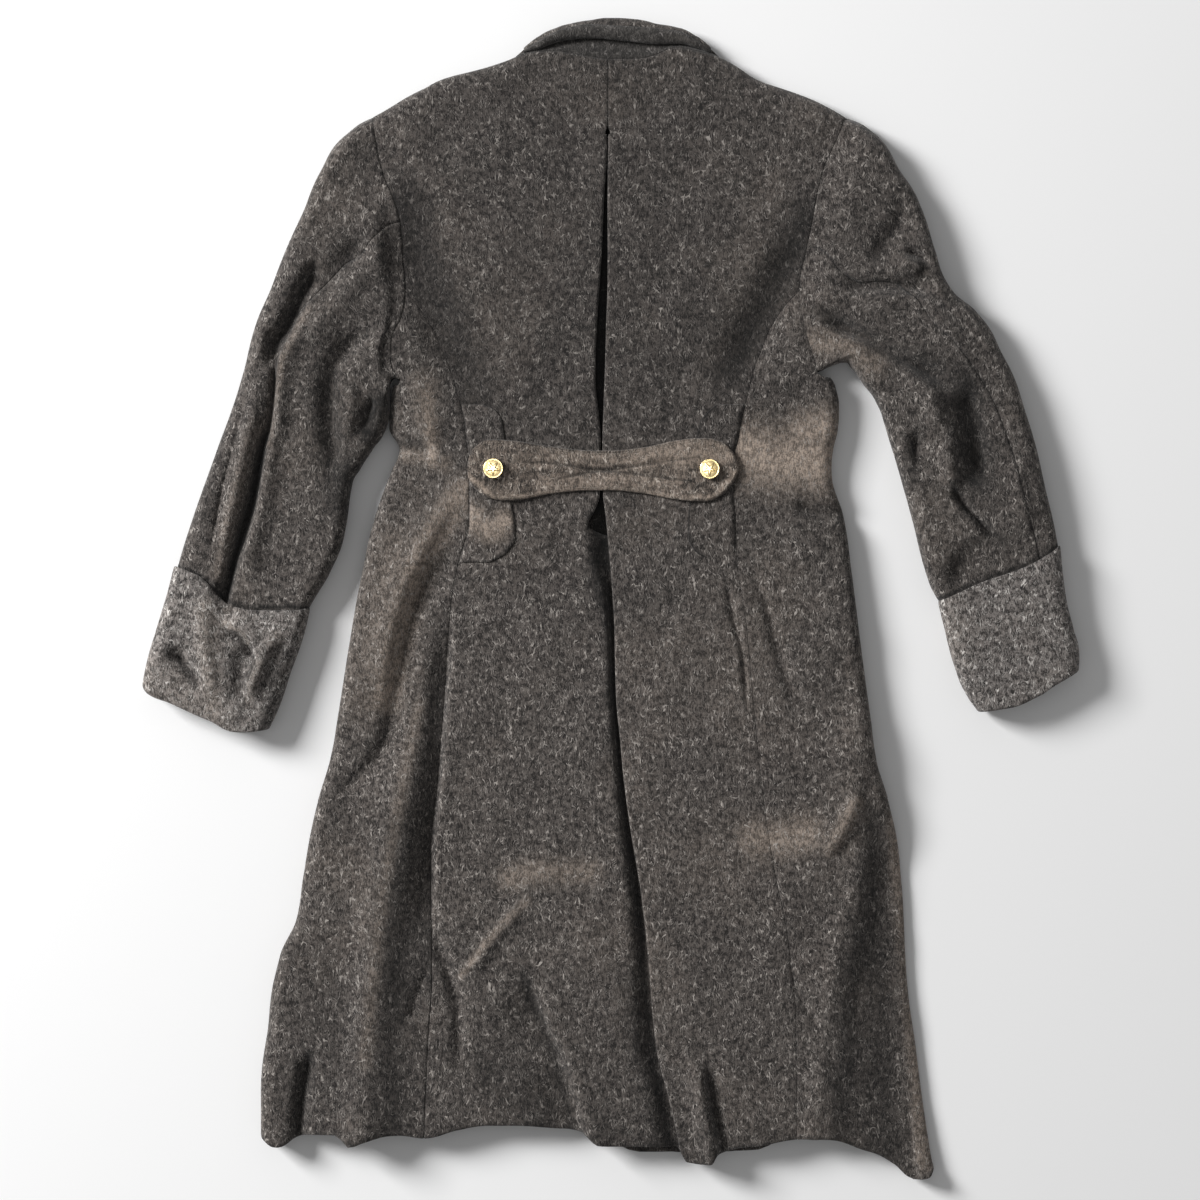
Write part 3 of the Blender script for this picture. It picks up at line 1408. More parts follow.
STAND_LINES = (
    CollarLine("seam", "lip", 0.74, 10.6, 16.4), CollarLine("lip", "raw", 0.27, 10.4, 14),
)
UNDER_COLLAR_LINES = tuple(CollarLine("lip", "raw", *row) for row in (
    (0.32, 13.4, 17.2), (0.12, 13.8, 19.4), (0.1, 15.2, 22.6), (0.32, 17, 25.4),
    (0.68, 17.4, 25.6), (1, 17, 23)))
TOP_COLLAR_LINES = (
    CollarLine("lip", "raw", 0.58, 14, 22.9), CollarLine("lip", "raw", 1, 13.7, 20.4),
    *(CollarLine("raw", "edge", *row)
      for row in ((0.62, 11, 17.4), (0.86, 8, 13.6), (0.56, 5.8, 9.6))),
)


def through(lines: Array, steps: int) -> Array:
    """Rows resampled smoothly through given rows: each span a cubic with neighbours' slopes.

    Args:
        lines: The given rows of points.
        steps: New rows a span.

    Returns:
        The new rows, the given ones among them.
    """
    before = np.concatenate((2 * lines[:1] - lines[1:2], lines[:-1]))
    after = np.concatenate((lines[1:], 2 * lines[-1:] - lines[-2:-1]))
    slope = (after - before) / 2
    rows = []
    for i in range(len(lines) - 1):
        t = np.linspace(0, 1, steps + 1)[: steps + (i == len(lines) - 2)][:, None, None]
        rows.append((2 * t**3 - 3 * t**2 + 1) * lines[i] + (t**3 - 2 * t**2 + t) * slope[i]
                    + (3 * t**2 - 2 * t**3) * lines[i + 1] + (t**3 - t**2) * slope[i + 1])
    return np.concatenate(rows)


@dataclass
class Collar:
    """The collar, turned up behind the neck, along the neck seam's own points."""

    nape_reach: float = 34.0
    nape_x: float = 8.5
    turned_up: tuple[float, float] = (-84.0, 122.0)
    span_rows: int = 4
    wall: float = 2.0
    front_rows: int = 14

    def rows(self, neck: Array, lines: Sequence[CollarLine]) -> Array:
        """Rows of points, each line full at the nape and low at the collar's ends.

        Args:
            neck: Points of the neck seam.
            lines: The collar's lines, from the seam on.

        Returns:
            The rows, one a line.
        """
        x = neck[:, 0]
        full = smooth(np.minimum(x - COLLAR[0][0], COLLAR[-1][0] - x) / self.nape_reach)
        return np.stack([
            np.stack([x, mix(collar_line[line.near](x), collar_line[line.far](x), line.share),
                      mix(line.low, line.high, full)], axis=-1)
            for line in lines
        ])

    def sheets(self, left: Array, right: Array) -> list[Sheet]:
        """The stand, the under-collar and the top collar.

        Args:
            left: The left back's neckline, from the shoulder to the centre.
            right: The right back's neckline, from the shoulder to the centre.

        Returns:
            The three sheets.
        """
        nape = np.concatenate((left[:-1], right[::-1]))
        stand = np.concatenate((nape[None], self.rows(nape, STAND_LINES)))
        low, high = self.turned_up
        inside = nape[(nape[:, 0] > low) & (nape[:, 0] < high)]
        turned = {"under_collar": UNDER_COLLAR_LINES, "top_collar": TOP_COLLAR_LINES}
        return [Sheet("collar_stand", through(stand, self.span_rows))] + [
            Sheet(name, through(self.rows(inside, lines), self.span_rows), wall=self.wall,
                  sewn=False) for name, lines in turned.items()]

    def front_sheet(self, side: Side, front: Array, level: Levels) -> Sheet:
        """The collar's front half on the floor, from the front's neckline to its edge.

        Args:
            side: The half's side.
            front: The front's own grid.
            level: Its level lines.

        Returns:
            The sheet.
        """
        neckline = front[level.tip:, -1]
        ends = {Side.LEFT: (self.nape_x - 1, COLLAR[0][0]),
                Side.RIGHT: (self.nape_x + 1, COLLAR[-1][0])}[side]
        x = np.linspace(ends[0], ends[1], len(neckline))
        edge = np.stack([x, collar_line["edge"](x) - 1, np.full_like(x, CLOTH / 2)], axis=-1)
        share = np.linspace(0, 1, self.front_rows + 1)[:, None, None]
        points = mix(neckline[None], edge[None], share)
        points[1:, :, 2] = CLOTH / 2
        return Sheet(side.name("collar_front"), faced(points, side is Side.RIGHT))


@dataclass
class BeltButton:
    """A domed metal button with a raised rim and a plain star, on a short shank.

    It is a profile turned round its axis. Inside the rim the star adds its height wherever a
    point lies within the star's reach at its angle.
    """

    side: Side
    radius: float = 10.8
    rim: float = 1.2
    height: float = 5.4
    shank: float = 4.0
    dome: float = 1.3
    star_rise: float = 0.75
    bevel: float = 0.6
    fall: float = 0.9
    star_root: float = 0.34
    star_tip: float = 0.86
    star_curve: float = 1.7
    facet: float = 2.4
    points: int = 5
    sides: int = 120

    def make(self, base: float) -> bpy.types.Object:
        """The button, standing base millimetres over the floor."""
        r, rim, h, b = self.radius, self.rim, self.height, self.bevel
        turn = np.linspace(0, math.pi / 2, 6)
        outside = [(0.05, 0.0), (self.shank, 0.0), (self.shank, 1.6), (r - 1, 2.0), (r, 3.0)]
        lip = [(r - b + b * math.cos(a), h - b + b * math.sin(a)) for a in turn]
        fall = [(r - rim + b / 2 - b / 2 * math.sin(a), h - self.fall * (1 - math.cos(a)))
                for a in turn]
        profile = np.array(outside + lip + fall)
        field_r = np.linspace(r - rim - 0.1, 0.02, 30)
        radii = np.concatenate((profile[:, 0], field_r))[:, None]
        angle = np.linspace(0, 2 * math.pi, self.sides, endpoint=False)[None, :]
        arm = np.abs(((angle + math.pi / 2) * self.points / (2 * math.pi)) % 1 - 0.5) * 2
        reach = (r - rim) * mix(self.star_root, self.star_tip, arm**self.star_curve)
        slope = np.clip((reach - field_r[:, None]) / self.facet, 0, 1)
        domed = h - 1.0 + self.dome * (1 - (field_r[:, None] / (r - rim)) ** 2)
        crown = domed + self.star_rise * smooth(slope * 2.2) * mix(0.6, 1, slope)
        sides = np.broadcast_to(profile[:, 1:], (len(profile), self.sides))
        z = np.concatenate((sides, crown)) + base
        x0, y0 = BUTTONS[self.side]
        points = grid_of(x0 + radii * np.cos(angle), y0 + radii * np.sin(angle), z)
        number = np.arange(points.shape[0] * self.sides).reshape(-1, self.sides)
        after = np.roll(number, -1, axis=1)
        quads = np.stack([number[:-1], after[:-1], after[1:], number[1:]], axis=-1)
        return make_object(self.side.name("button"), points.reshape(-1, 3),
                           quads.reshape(-1, 4), {})


@dataclass
class ThreadRow:
    """A row of short stitches along a line on the cloth.

    Each stitch is a thread whose middle rises off the cloth as a half cosine and whose ends go
    down into it, thinner towards both ends.
    """

    name: str
    line: Array
    length: float = 2.5
    pitch: float = 3.3
    thick: float = 0.55
    rings: int = 6
    sides: int = 6

    def make(self) -> bpy.types.Object:
        """The stitches as one mesh of open tubes."""
        run = run_of(self.line)
        middle = np.arange(self.pitch / 2, run[-1], self.pitch)
        t = np.linspace(-0.5, 0.5, self.rings)[None, :]
        at = middle[:, None] + t * self.length
        spot, ahead = (np.stack([np.interp(at + d, run, self.line[:, i]) for i in range(3)],
                                axis=-1) for d in (0.0, 0.2))
        way = unit((ahead - spot) * (1, 1, 0))
        aside = np.stack([-way[..., 1], way[..., 0], way[..., 2]], axis=-1)
        spot[..., 2] += self.thick * (np.cos(math.pi * t) - 0.45)
        around = np.linspace(0, 2 * math.pi, self.sides, endpoint=False)[None, None, :, None]
        reach = self.thick / 2 * (1 - 2 * t**2)[..., None, None]
        upright = np.array([0.0, 0.0, 1.0])
        points = spot[:, :, None, :] + reach * (
            np.cos(around) * aside[:, :, None, :] + np.sin(around) * upright)
        number = np.arange(points.size // 3).reshape(points.shape[:3])
        after = np.roll(number, -1, axis=2)
        quads = np.stack([number[:, :-1], number[:, 1:], after[:, 1:], after[:, :-1]], axis=-1)
        return make_object(self.name, points.reshape(-1, 3), quads.reshape(-1, 4), {})


PLEAT_STITCH_Y = 517.0
PLEAT_STITCH_ENDS = (-44, 76)
PLEAT_STITCH_SUNK = 0.15


def pleat_stitch() -> Array:
    """The line of the stitch that holds the pleat's top, on the back's face."""
    x = np.linspace(*PLEAT_STITCH_ENDS, 80)
    y = np.full_like(x, PLEAT_STITCH_Y)
    z = back_height(x, y, centre_back[Side.RIGHT](y)) + CLOTH / 2 - PLEAT_STITCH_SUNK
    return np.stack([x, y, z], axis=-1)


# Wear


@dataclass(frozen=True)
class Wear:
    """Cloth worn paler, or left darker, along a path."""

    amount: float
    width: float
    path: Path


# Worn and dark places, by what their pieces' names begin with, where nothing stands for them all
WORN_PLACES = {
    "front": (
        Wear(1.0, 30, ((158, 162), (205, 154), (256, 152))),
        Wear(0.8, 20, ((222, 184), (250, 190))),
        Wear(0.72, 14, ((-150, 120), (-172, 84), (-202, 28), (-220, -36), (-236, -110))),
        Wear(0.18, 26, ((-225, 60), (-246, -40), (-256, -110))),
        Wear(0.5, 8, ((280, -222), (268, -247), (252, -273))),
        Wear(0.7, 8, ((-190, 226), (-187, 195), (-184, 152))),
        Wear(0.4, 9, ((-216, 160), (-196, 158), (-170, 148))),
        Wear(0.3, 14, ((-192, 240), (-190, 200))),
        Wear(0.25, 7, ((-197, -113), (-216, -209), (-240, -352), (-256, -506))),
        Wear(0.5, 8, ((322, -240), (332, -330), (346, -494), (358, -620))),
    ),
    "half_belt": (
        Wear(0.9, 3, ((-144, 136), (-140, 126), (-130, 117), (-112, 111), (-50, 119), (2, 122),
                      (45, 119), (84, 112), (110, 110), (130, 115), (144, 128), (150, 141))),
        Wear(0.75, 16, ((40, 154), (84, 160), (134, 158))),
        Wear(0.5, 10, ((-60, 128), (0, 130), (66, 126))),
        Wear(0.4, 10, ((-90, 150), (-40, 156), (20, 152))),
    ),
    "back": (
        Wear(0.4, 13, ((-100, -305), (-60, -298), (-12, -298))),
        Wear(0.4, 5, ((-96, -312), (-60, -304))),
        Wear(0.35, 4, ((-80, -330), (-114, -364), (-152, -412))),
    ),
    "": (
        Wear(0.55, 20, ((170, -262), (200, -262), (224, -255))),
    ),
    "belt_flap": (
        Wear(0.85, 13, ((-140, 92), (-118, 78), (-104, 88))),
    ),
    "sleeve": (
        Wear(0.42, 14, ((236, 284), (262, 280), (300, 258))),
        Wear(0.25, 4, ((-318, 318), (-338, 284), (-350, 250), (-362, 170))),
        Wear(0.2, 8, ((-376, 190), (-398, 110), (-418, 30))),
    ),
    "cuff": (
        Wear(0.45, 12, ((-430, -10), (-427, -60), (-424, -124))),
        Wear(0.7, 4, ((-410, -26), (-396, -34), (-386, -46))),
        Wear(0.3, 8, ((-352, -40), (-372, -70), (-386, -110))),
    ),
}
DARK_PLACES = {
    "": (
        Wear(0.4, 270, ((0, 560), (0, 330))),
        Wear(0.22, 90, ((-330, 420), (-300, 330))),
        Wear(0.22, 60, ((290, 430), (330, 380))),
        Wear(0.35, 34, ((-330, -600), (-180, -600), (-40, -600), (100, -610), (320, -640))),
    ),
    "back": (
        Wear(0.8, 38, ((-216, 440), (-190, 370), (-162, 310), (-140, 240), (-130, 205))),
        Wear(0.85, 32, ((226, 420), (196, 350), (168, 290), (140, 250))),
        Wear(0.4, 6, ((-138, 172), (-118, 179), (-98, 178), (-50, 170), (2, 166), (45, 169),
                      (84, 178), (112, 181))),
        Wear(0.85, 1.7, ((8.5, 597), (8.5, 516))),
        Wear(0.3, 8, ((-50, 595), (12, 588), (70, 594))),
        Wear(0.5, 32, ((-118, -520), (-70, -575))),
    ),
    "half_belt": (
        Wear(0.8, 2, ((-84, 151), (-60, 151), (-30, 146.5), (-2, 142.5), (30, 145.5), (72, 152),
                      (108, 157))),
        Wear(0.8, 2, ((-46, 133), (-20, 138), (2, 141.5), (36, 138.5), (74, 133.5), (100, 130.5))),
        Wear(0.9, 1.5, ((96, 142.5), (107, 142.5))),
        Wear(0.45, 2.5, ((-130, 168), (-112, 173), (-50, 166), (2, 161.5), (45, 164), (84, 172))),
    ),
    "belt_flap_right": (
        Wear(1.0, 2.8, ((127, 213), (116, 204), (108, 190), (103, 150), (98, 108), (96, 72),
                        (102, 56), (120, 42))),
    ),
    "belt_flap_left": (
        Wear(0.6, 1.6, ((-127, 213), (-112, 204), (-108, 190), (-103, 150), (-98, 108), (-94, 72),
                        (-100, 56), (-119, 43))),
    ),
    "front": (
        Wear(0.75, 30, ((-6, 110), (-4, 76), (6, 40))),
        Wear(0.55, 13, ((300, -235), (299, -300), (297, -370))),
        Wear(0.55, 17, ((284, -370), (274, -430), (267, -504), (262, -600))),
        Wear(0.5, 20, ((303, -380), (306, -450), (310, -520), (314, -620))),
        Wear(0.45, 14, ((-174, -80), (-186, -250), (-192, -420))),
        Wear(0.5, 24, ((-222, -250), (-224, -420), (-228, -590))),
        Wear(0.3, 40, ((-290, -420), (-300, -560))),
        Wear(0.25, 14, ((-166, 52), (-196, 0), (-214, -60))),
        Wear(0.8, 9, ((-318, -500), (-327, -545), (-332, -590))),
        Wear(0.45, 12, ((268, 92), (215, 102))),
    ),
    "pleat_underlay": (
        Wear(1.0, 60, ((4, 510), (0, 90))),
    ),
    "front_left": (
        Wear(1.0, 60, ((10, 120), (10, 60))),
    ),
    "sleeve": (
        Wear(0.7, 10, ((-312, 362), (-333, 322), (-352, 278))),
        Wear(0.5, 12, ((-262, 396), (-290, 356), (-312, 330))),
        Wear(0.6, 4, ((-354, 262), (-359, 205), (-368, 165))),
        Wear(1.0, 7, ((-367, 178), (-374, 150), (-384, 105), (-397, 62), (-409, 8))),
        Wear(0.45, 8, ((-400, 250), (-412, 190), (-436, 90))),
        Wear(0.45, 10, ((-240, 305), (-268, 282), (-288, 256))),
        Wear(0.72, 24, ((-296, 240), (-290, 180), (-286, 110))),
        Wear(1.0, 15, ((-244, 216), (-256, 184))),
        Wear(0.85, 24, ((398, 236), (410, 196), (416, 132))),
        Wear(0.6, 13, ((238, 317), (268, 301), (310, 276), (372, 244))),
        Wear(0.5, 20, ((322, 260), (350, 262), (385, 250))),
        Wear(0.3, 17, ((326, 440), (318, 400), (304, 366))),
        Wear(0.4, 10, ((270, 347), (340, 342))),
        Wear(0.5, 9, ((350, 186), (343, 160), (336, 130))),
        Wear(0.9, 5, ((385, 128), (396, 108), (414, 88), (440, 66))),
        Wear(0.4, 20, ((420, 60), (392, 30))),
        Wear(1.0, 3, ((507, 63), (482, 47), (448, 32), (424, 24), (386, 7), (371, 1))),
        Wear(1.0, 3, ((-468, 40), (-449, 33), (-432, 23), (-418, 6), (-396, -6), (-372, -9),
                      (-347, -7), (-317, -9))),
    ),
    "cuff": (
        Wear(0.75, 5, ((-474, -57), (-457, -72), (-443, -90))),
        Wear(0.4, 9, ((-396, -62), (-390, -90), (-396, -128))),
        Wear(0.8, 3.5, ((-400, -36), (-389, -51), (-380, -67), (-383, -84))),
        Wear(0.45, 12, ((-366, -50), (-362, -90), (-366, -130))),
        Wear(0.3, 16, ((-344, -60), (-368, -120))),
    ),
    "collar_stand": (
        Wear(0.5, 9, ((-60, 603), (-10, 602), (40, 600), (78, 606))),
    ),
    "top_collar": (
        Wear(0.6, 1.7, ((-80, 606), (-66, 614), (-50, 623), (-32, 629), (-10, 631.5), (12, 630.5),
                        (40, 629), (62, 627.5), (84, 624.5), (104, 615), (119, 605.5))),
    ),
    "under_collar": (
        Wear(0.4, 2.2, ((-66, 612), (-50, 621), (-32, 627), (-10, 629), (12, 628), (40, 626.5),
                        (62, 625), (84, 622), (104, 613))),
    ),
    "back_left": (
        Wear(0.75, 8, ((-84, -412), (-68, -458), (-50, -506), (-28, -590))),
        Wear(1.0, 13, ((-2, 90), (4, 62), (8, 40))),
        Wear(0.85, 12, ((-2, 62), (-4, 34), (2, 0))),
        Wear(0.8, 8, ((6, 10), (12, -60), (18, -150), (27, -240), (40, -330), (48, -420),
                      (60, -520), (76, -600))),
        Wear(0.5, 20, ((34, -420), (50, -520), (66, -600))),
    ),
    "back_right": (
        Wear(0.6, 8, ((118, -520), (126, -560), (134, -600))),
    ),
}
DARKEST = 0.86
WEAR_POINTS = 9


def shown(places: dict[str, Sequence[Wear]], sheet: Sheet) -> Array:
    """How much of the places shows on a sheet: a bell round each path, the most of all.

    Args:
        places: The places, by what their pieces' names begin with.
        sheet: The sheet.

    Returns:
        A share for each of the sheet's points.
    """
    x, y = sheet.points[..., 0], sheet.points[..., 1]
    total = np.zeros(x.shape)
    for wear in (w for on, group in places.items() if sheet.name.startswith(on) for w in group):
        line = traced(wear.path)(np.linspace(0, 1, WEAR_POINTS))
        distance = along(line, x, y)[0]
        total = np.maximum(total, wear.amount * np.exp(-((distance / wear.width) ** 2)))
    return total


# Finishes


class Nodes:
    """Short calls for building a node tree."""

    def __init__(self, tree: bpy.types.NodeTree) -> None:
        """Works on the given tree."""
        self.tree = tree

    def add(self, kind: str, settings: dict[str, object] | None = None,
            **inputs: object) -> bpy.types.Node:
        """Adds a node.

        Args:
            kind: The node's type without its common beginning.
            settings: The node's own properties.
            inputs: Values or output sockets by input name, with _ for a blank.

        Returns:
            The node.
        """
        node = self.tree.nodes.new(f"ShaderNode{kind}")
        for key, value in (settings or {}).items():
            setattr(node, key, value)
        for key, value in inputs.items():
            self.feed(node, key.replace("_", " "), value)
        return node

    def feed(self, node: bpy.types.Node, name: str | int, value: object) -> None:
        """Sets an input to a value, or links a socket to it."""
        socket = node.inputs[name]
        if isinstance(value, bpy.types.NodeSocket):
            self.tree.links.new(value, socket)
        else:
            socket.default_value = value

    def sum(self, operation: str, a: object, b: object = 0.0, c: object = None,
            clamp: bool = False) -> bpy.types.NodeSocket:
        """One step of arithmetic.

        Args:
            operation: What is done.
            a: First number or socket.
            b: Second number or socket.
            c: Third one, where the operation has it.
            clamp: Whether the result is held from 0 to 1.

        Returns:
            The result.
        """
        node = self.add("Math", {"operation": operation, "use_clamp": clamp})
        self.feed(node, 0, a)
        self.feed(node, 1, b)
        if c is not None:
            self.feed(node, 2, c)
        return node.outputs[0]

    def ramp(self, value: object, low: float, high: float) -> bpy.types.NodeSocket:
        """Share of the way from low to high, held from 0 to 1."""
        node = self.add("MapRange", {"interpolation_type": "SMOOTHSTEP"}, Value=value,
                        From_Min=low, From_Max=high)
        return node.outputs[0]

    def blend(self, share: object, a: object, b: object,
              kind: str = "MIX") -> bpy.types.NodeSocket:
        """Mixes two colours."""
        node = self.add("Mix", {"data_type": "RGBA", "blend_type": kind})
        self.feed(node, 0, share)
        self.feed(node, 6, a)
        self.feed(node, 7, b)
        return node.outputs[2]

    def shaded(self, share: object, colour: object, by: object) -> bpy.types.NodeSocket:
        """A colour multiplied by one number in all its channels, for a share of it."""
        grey = self.add("CombineColor", Red=by, Green=by, Blue=by).outputs[0]
        return self.blend(share, colour, grey, "MULTIPLY")

    def noise(self, place: object, scale: float, detail: float,
              settings: dict[str, object] | None = None, **inputs: object) -> bpy.types.NodeSocket:
        """A noise's value, read at place with so much scale and detail."""
        return self.add("TexNoise", settings, Vector=place, Scale=scale, Detail=detail,
                        **inputs).outputs[0]


def new_surface(name: str, **values: object) -> tuple[bpy.types.Material, Nodes, bpy.types.Node]:
    """A new material.

    Args:
        name: The material's name.
        values: Values of its surface's inputs by name, with _ for a blank.

    Returns:
        The material, its node tree, and its surface shader.
    """
    material = bpy.data.materials.new(name)
    material.use_nodes = True
    n = Nodes(material.node_tree)
    surface = material.node_tree.nodes["Principled BSDF"]
    for key, value in values.items():
        n.feed(surface, key.replace("_", " "), value)
    return material, n, surface


@dataclass(frozen=True)
class Hairs:
    """One layer of short light hairs.

    turn is the way they lie, wide and long the spacing they are drawn at in metres, thick their
    share of it, and few how much of the layer is broken away.
    """

    turn: float
    wide: float
    long: float
    thick: float
    few: float


HAIR_LAYERS = (
    Hairs(0.12, 0.0024, 0.0130, 0.046, 0.45), Hairs(-0.32, 0.0027, 0.0140, 0.040, 0.47),
    Hairs(0.62, 0.0028, 0.0120, 0.042, 0.50), Hairs(2.2, 0.0032, 0.0120, 0.040, 0.53),
)


def wool_group() -> bpy.types.ShaderNodeTree:
    """Felted melange wool: mottled dark cloth with a lengthwise nap, under layers of light hairs.

    Each hair layer is the line where a noise drawn long one way crosses its middle, broken up
    by a second noise. Brown and worn tints come on in broad soft patches.

    Returns:
        The node group, with colour and height out.
    """
    tree = bpy.data.node_groups.new("melange wool", "ShaderNodeTree")
    for way, kind, names in (("INPUT", "Color", ("Dark", "Mid", "Hair", "Brown")),
                             ("INPUT", "Float", ("Browning", "Worn", "Edge", "Darkened")),
                             ("OUTPUT", "Color", ("Color",)), ("OUTPUT", "Float", ("Height",))):
        for name in names:
            tree.interface.new_socket(name, in_out=way, socket_type=f"NodeSocket{kind}")
    n = Nodes(tree)
    given = tree.nodes.new("NodeGroupInput").outputs
    place = n.add("TexCoord").outputs["Object"]

    warp = n.add("TexNoise", Vector=place, Scale=150.0, Detail=1.0).outputs["Color"]
    shift = n.add("VectorMath", {"operation": "MULTIPLY_ADD"})
    n.feed(shift, 0, warp)
    n.feed(shift, 1, (0.004, 0.004, 0.004))
    n.feed(shift, 2, place)
    curly = shift.outputs[0]

    hairs: object = 0.0
    for i, layer in enumerate(HAIR_LAYERS):
        turned = n.add("Mapping", {"vector_type": "TEXTURE"}, Vector=curly,
                       Rotation=(0.0, 0.0, layer.turn), Location=(0.37 * i, 0.21 * i, 0.0),
                       Scale=(layer.wide, layer.long, layer.wide * 3))
        strands = n.noise(turned.outputs[0], 1.0, 0.0)
        off = n.sum("ABSOLUTE", n.sum("SUBTRACT", strands, 0.5))
        line = n.sum("SUBTRACT", 1.0, n.ramp(off, layer.thick * 0.3, layer.thick))
        breaks = n.noise(place, 125.0, 2.0, {"noise_dimensions": "4D"}, W=3.0 * i)
        line = n.sum("MULTIPLY", line, n.ramp(breaks, layer.few, layer.few + 0.24))
        hairs = n.sum("MAXIMUM", hairs, line)

    fine = n.noise(place, 620.0, 2.0, Roughness=0.7)
    coarse = n.noise(place, 170.0, 3.0, Roughness=0.6)
    lengthwise = n.add("Mapping", {"vector_type": "TEXTURE"}, Vector=curly,
                       Rotation=(0.0, 0.0, 0.06), Scale=(0.0011, 0.0055, 0.003))
    nap = n.noise(lengthwise.outputs[0], 1.0, 2.0)
    broad = n.noise(place, 9.0, 3.0, Roughness=0.55)
    mottle = n.sum("MULTIPLY_ADD", fine, 0.3, n.sum("MULTIPLY_ADD", coarse, 0.35,
                                                    n.sum("MULTIPLY", nap, 0.35)))
    tone = n.ramp(mottle, 0.42, 0.60)

    base = n.blend(tone, given["Dark"], given["Mid"])
    tint = n.sum("MULTIPLY", n.ramp(broad, 0.45, 0.7), given["Browning"])
    brown = n.sum("MAXIMUM", tint, n.sum("MULTIPLY", given["Worn"], 0.92), clamp=True)
    warm = n.shaded(1.0, given["Brown"], n.sum("MULTIPLY_ADD", tone, 0.8, 0.36))
    base = n.blend(brown, base, warm)
    colour = n.blend(hairs, base, given["Hair"])
    shade = n.sum("MULTIPLY", n.sum("MULTIPLY_ADD", given["Edge"], -0.2, 1.0),
                  n.sum("MULTIPLY_ADD", given["Darkened"], -DARKEST, 1.0))
    out = tree.nodes.new("NodeGroupOutput")
    n.feed(out, "Color", n.shaded(1.0, colour, shade))
    n.feed(out, "Height", n.sum("MULTIPLY_ADD", hairs, 0.4, mottle))
    return tree


@dataclass(frozen=True)
class WoolFinish:
    """A wool cloth's colours and how much brown and wear it shows."""

    name: str
    slot: str
    dark: Colour
    mid: Colour
    hair: Colour
    brown: Colour
    browning: float = 0.35
    worn: float = 0.0

    def build(self, group: bpy.types.ShaderNodeTree) -> bpy.types.Material:
        """The material: the wool group over a rough surface with a soft sheen."""
        material, n, surface = new_surface(self.name, Roughness=0.95, Specular_IOR_Level=0.2,
                                           Sheen_Weight=0.12, Sheen_Roughness=0.6)
        worn, edge, dark = (n.add("Attribute", {"attribute_name": name}).outputs["Fac"]
                            for name in ("worn", "edge", "dark"))
        wool = n.add("Group", {"node_tree": group}, Dark=self.dark, Mid=self.mid, Hair=self.hair,
                     Brown=self.brown, Browning=self.browning, Edge=edge, Darkened=dark,
                     Worn=n.sum("MAXIMUM", worn, self.worn))
        n.feed(surface, "Base Color", wool.outputs["Color"])
        bump = n.add("Bump", Strength=0.9, Distance=0.0009, Height=wool.outputs["Height"])
        n.feed(surface, "Normal", bump.outputs[0])
        return material


@dataclass(frozen=True)
class GiltFinish:
    """Polished gilt brass with faint handling marks."""

    colour: Colour = (0.90, 0.71, 0.36, 1.0)
    roughness: float = 0.3

    def build(self) -> bpy.types.Material:
        """The material, its roughness a little patchy."""
        material, n, surface = new_surface("gilt brass", Base_Color=self.colour, Metallic=1.0)
        patchy = n.noise(n.add("TexCoord").outputs["Object"], 500.0, 3.0)
        n.feed(surface, "Roughness", n.sum("MULTIPLY_ADD", patchy, 0.2, self.roughness - 0.08))
        return material


@dataclass(frozen=True)
class ThreadFinish:
    """Matt sewing thread, a little darker and lighter along its length."""

    name: str
    colour: Colour

    def build(self) -> bpy.types.Material:
        """The material."""
        material, n, surface = new_surface(self.name, Roughness=0.8, Specular_IOR_Level=0.25)
        patchy = n.noise(n.add("TexCoord").outputs["Object"], 400.0, 2.0)
        shade = n.sum("MULTIPLY_ADD", patchy, 0.9, 0.45)
        n.feed(surface, "Base Color", n.shaded(1.0, self.colour, shade))
        return material


BELT_THREAD = ThreadFinish("belt thread", (0.30, 0.26, 0.22, 1))
PLEAT_THREAD = ThreadFinish("pleat thread", (0.022, 0.019, 0.017, 1))
COAT_WOOL = WoolFinish(
    "coat wool", "wool", (0.0105, 0.0085, 0.0075, 1), (0.104, 0.090, 0.081, 1),
    (0.38, 0.345, 0.315, 1), (0.44, 0.355, 0.29, 1), 0.08)
COLLAR_WOOL = WoolFinish(
    "collar wool", "collar_wool", (0.018, 0.016, 0.0145, 1), (0.080, 0.073, 0.067, 1),
    (0.24, 0.222, 0.208, 1), (0.14, 0.118, 0.10, 1), 0.14)
BELT_WOOL = WoolFinish(
    "belt wool", "belt_wool", (0.014, 0.0115, 0.010, 1), (0.175, 0.141, 0.117, 1),
    (0.60, 0.525, 0.455, 1), (0.42, 0.335, 0.27, 1), 0.3, 0.08)
CUFF_WOOL = WoolFinish(
    "cuff wool", "wool", (0.018, 0.0155, 0.0145, 1), (0.210, 0.188, 0.175, 1),
    (0.62, 0.585, 0.55, 1), (0.36, 0.305, 0.26, 1), 0.2)


# The coat


@dataclass(frozen=True)
class Cut:
    """What a piece is cut to: width and length in metres, and its area in square metres."""

    width: float
    length: float
    area: float
    rests_on: tuple[str, ...]


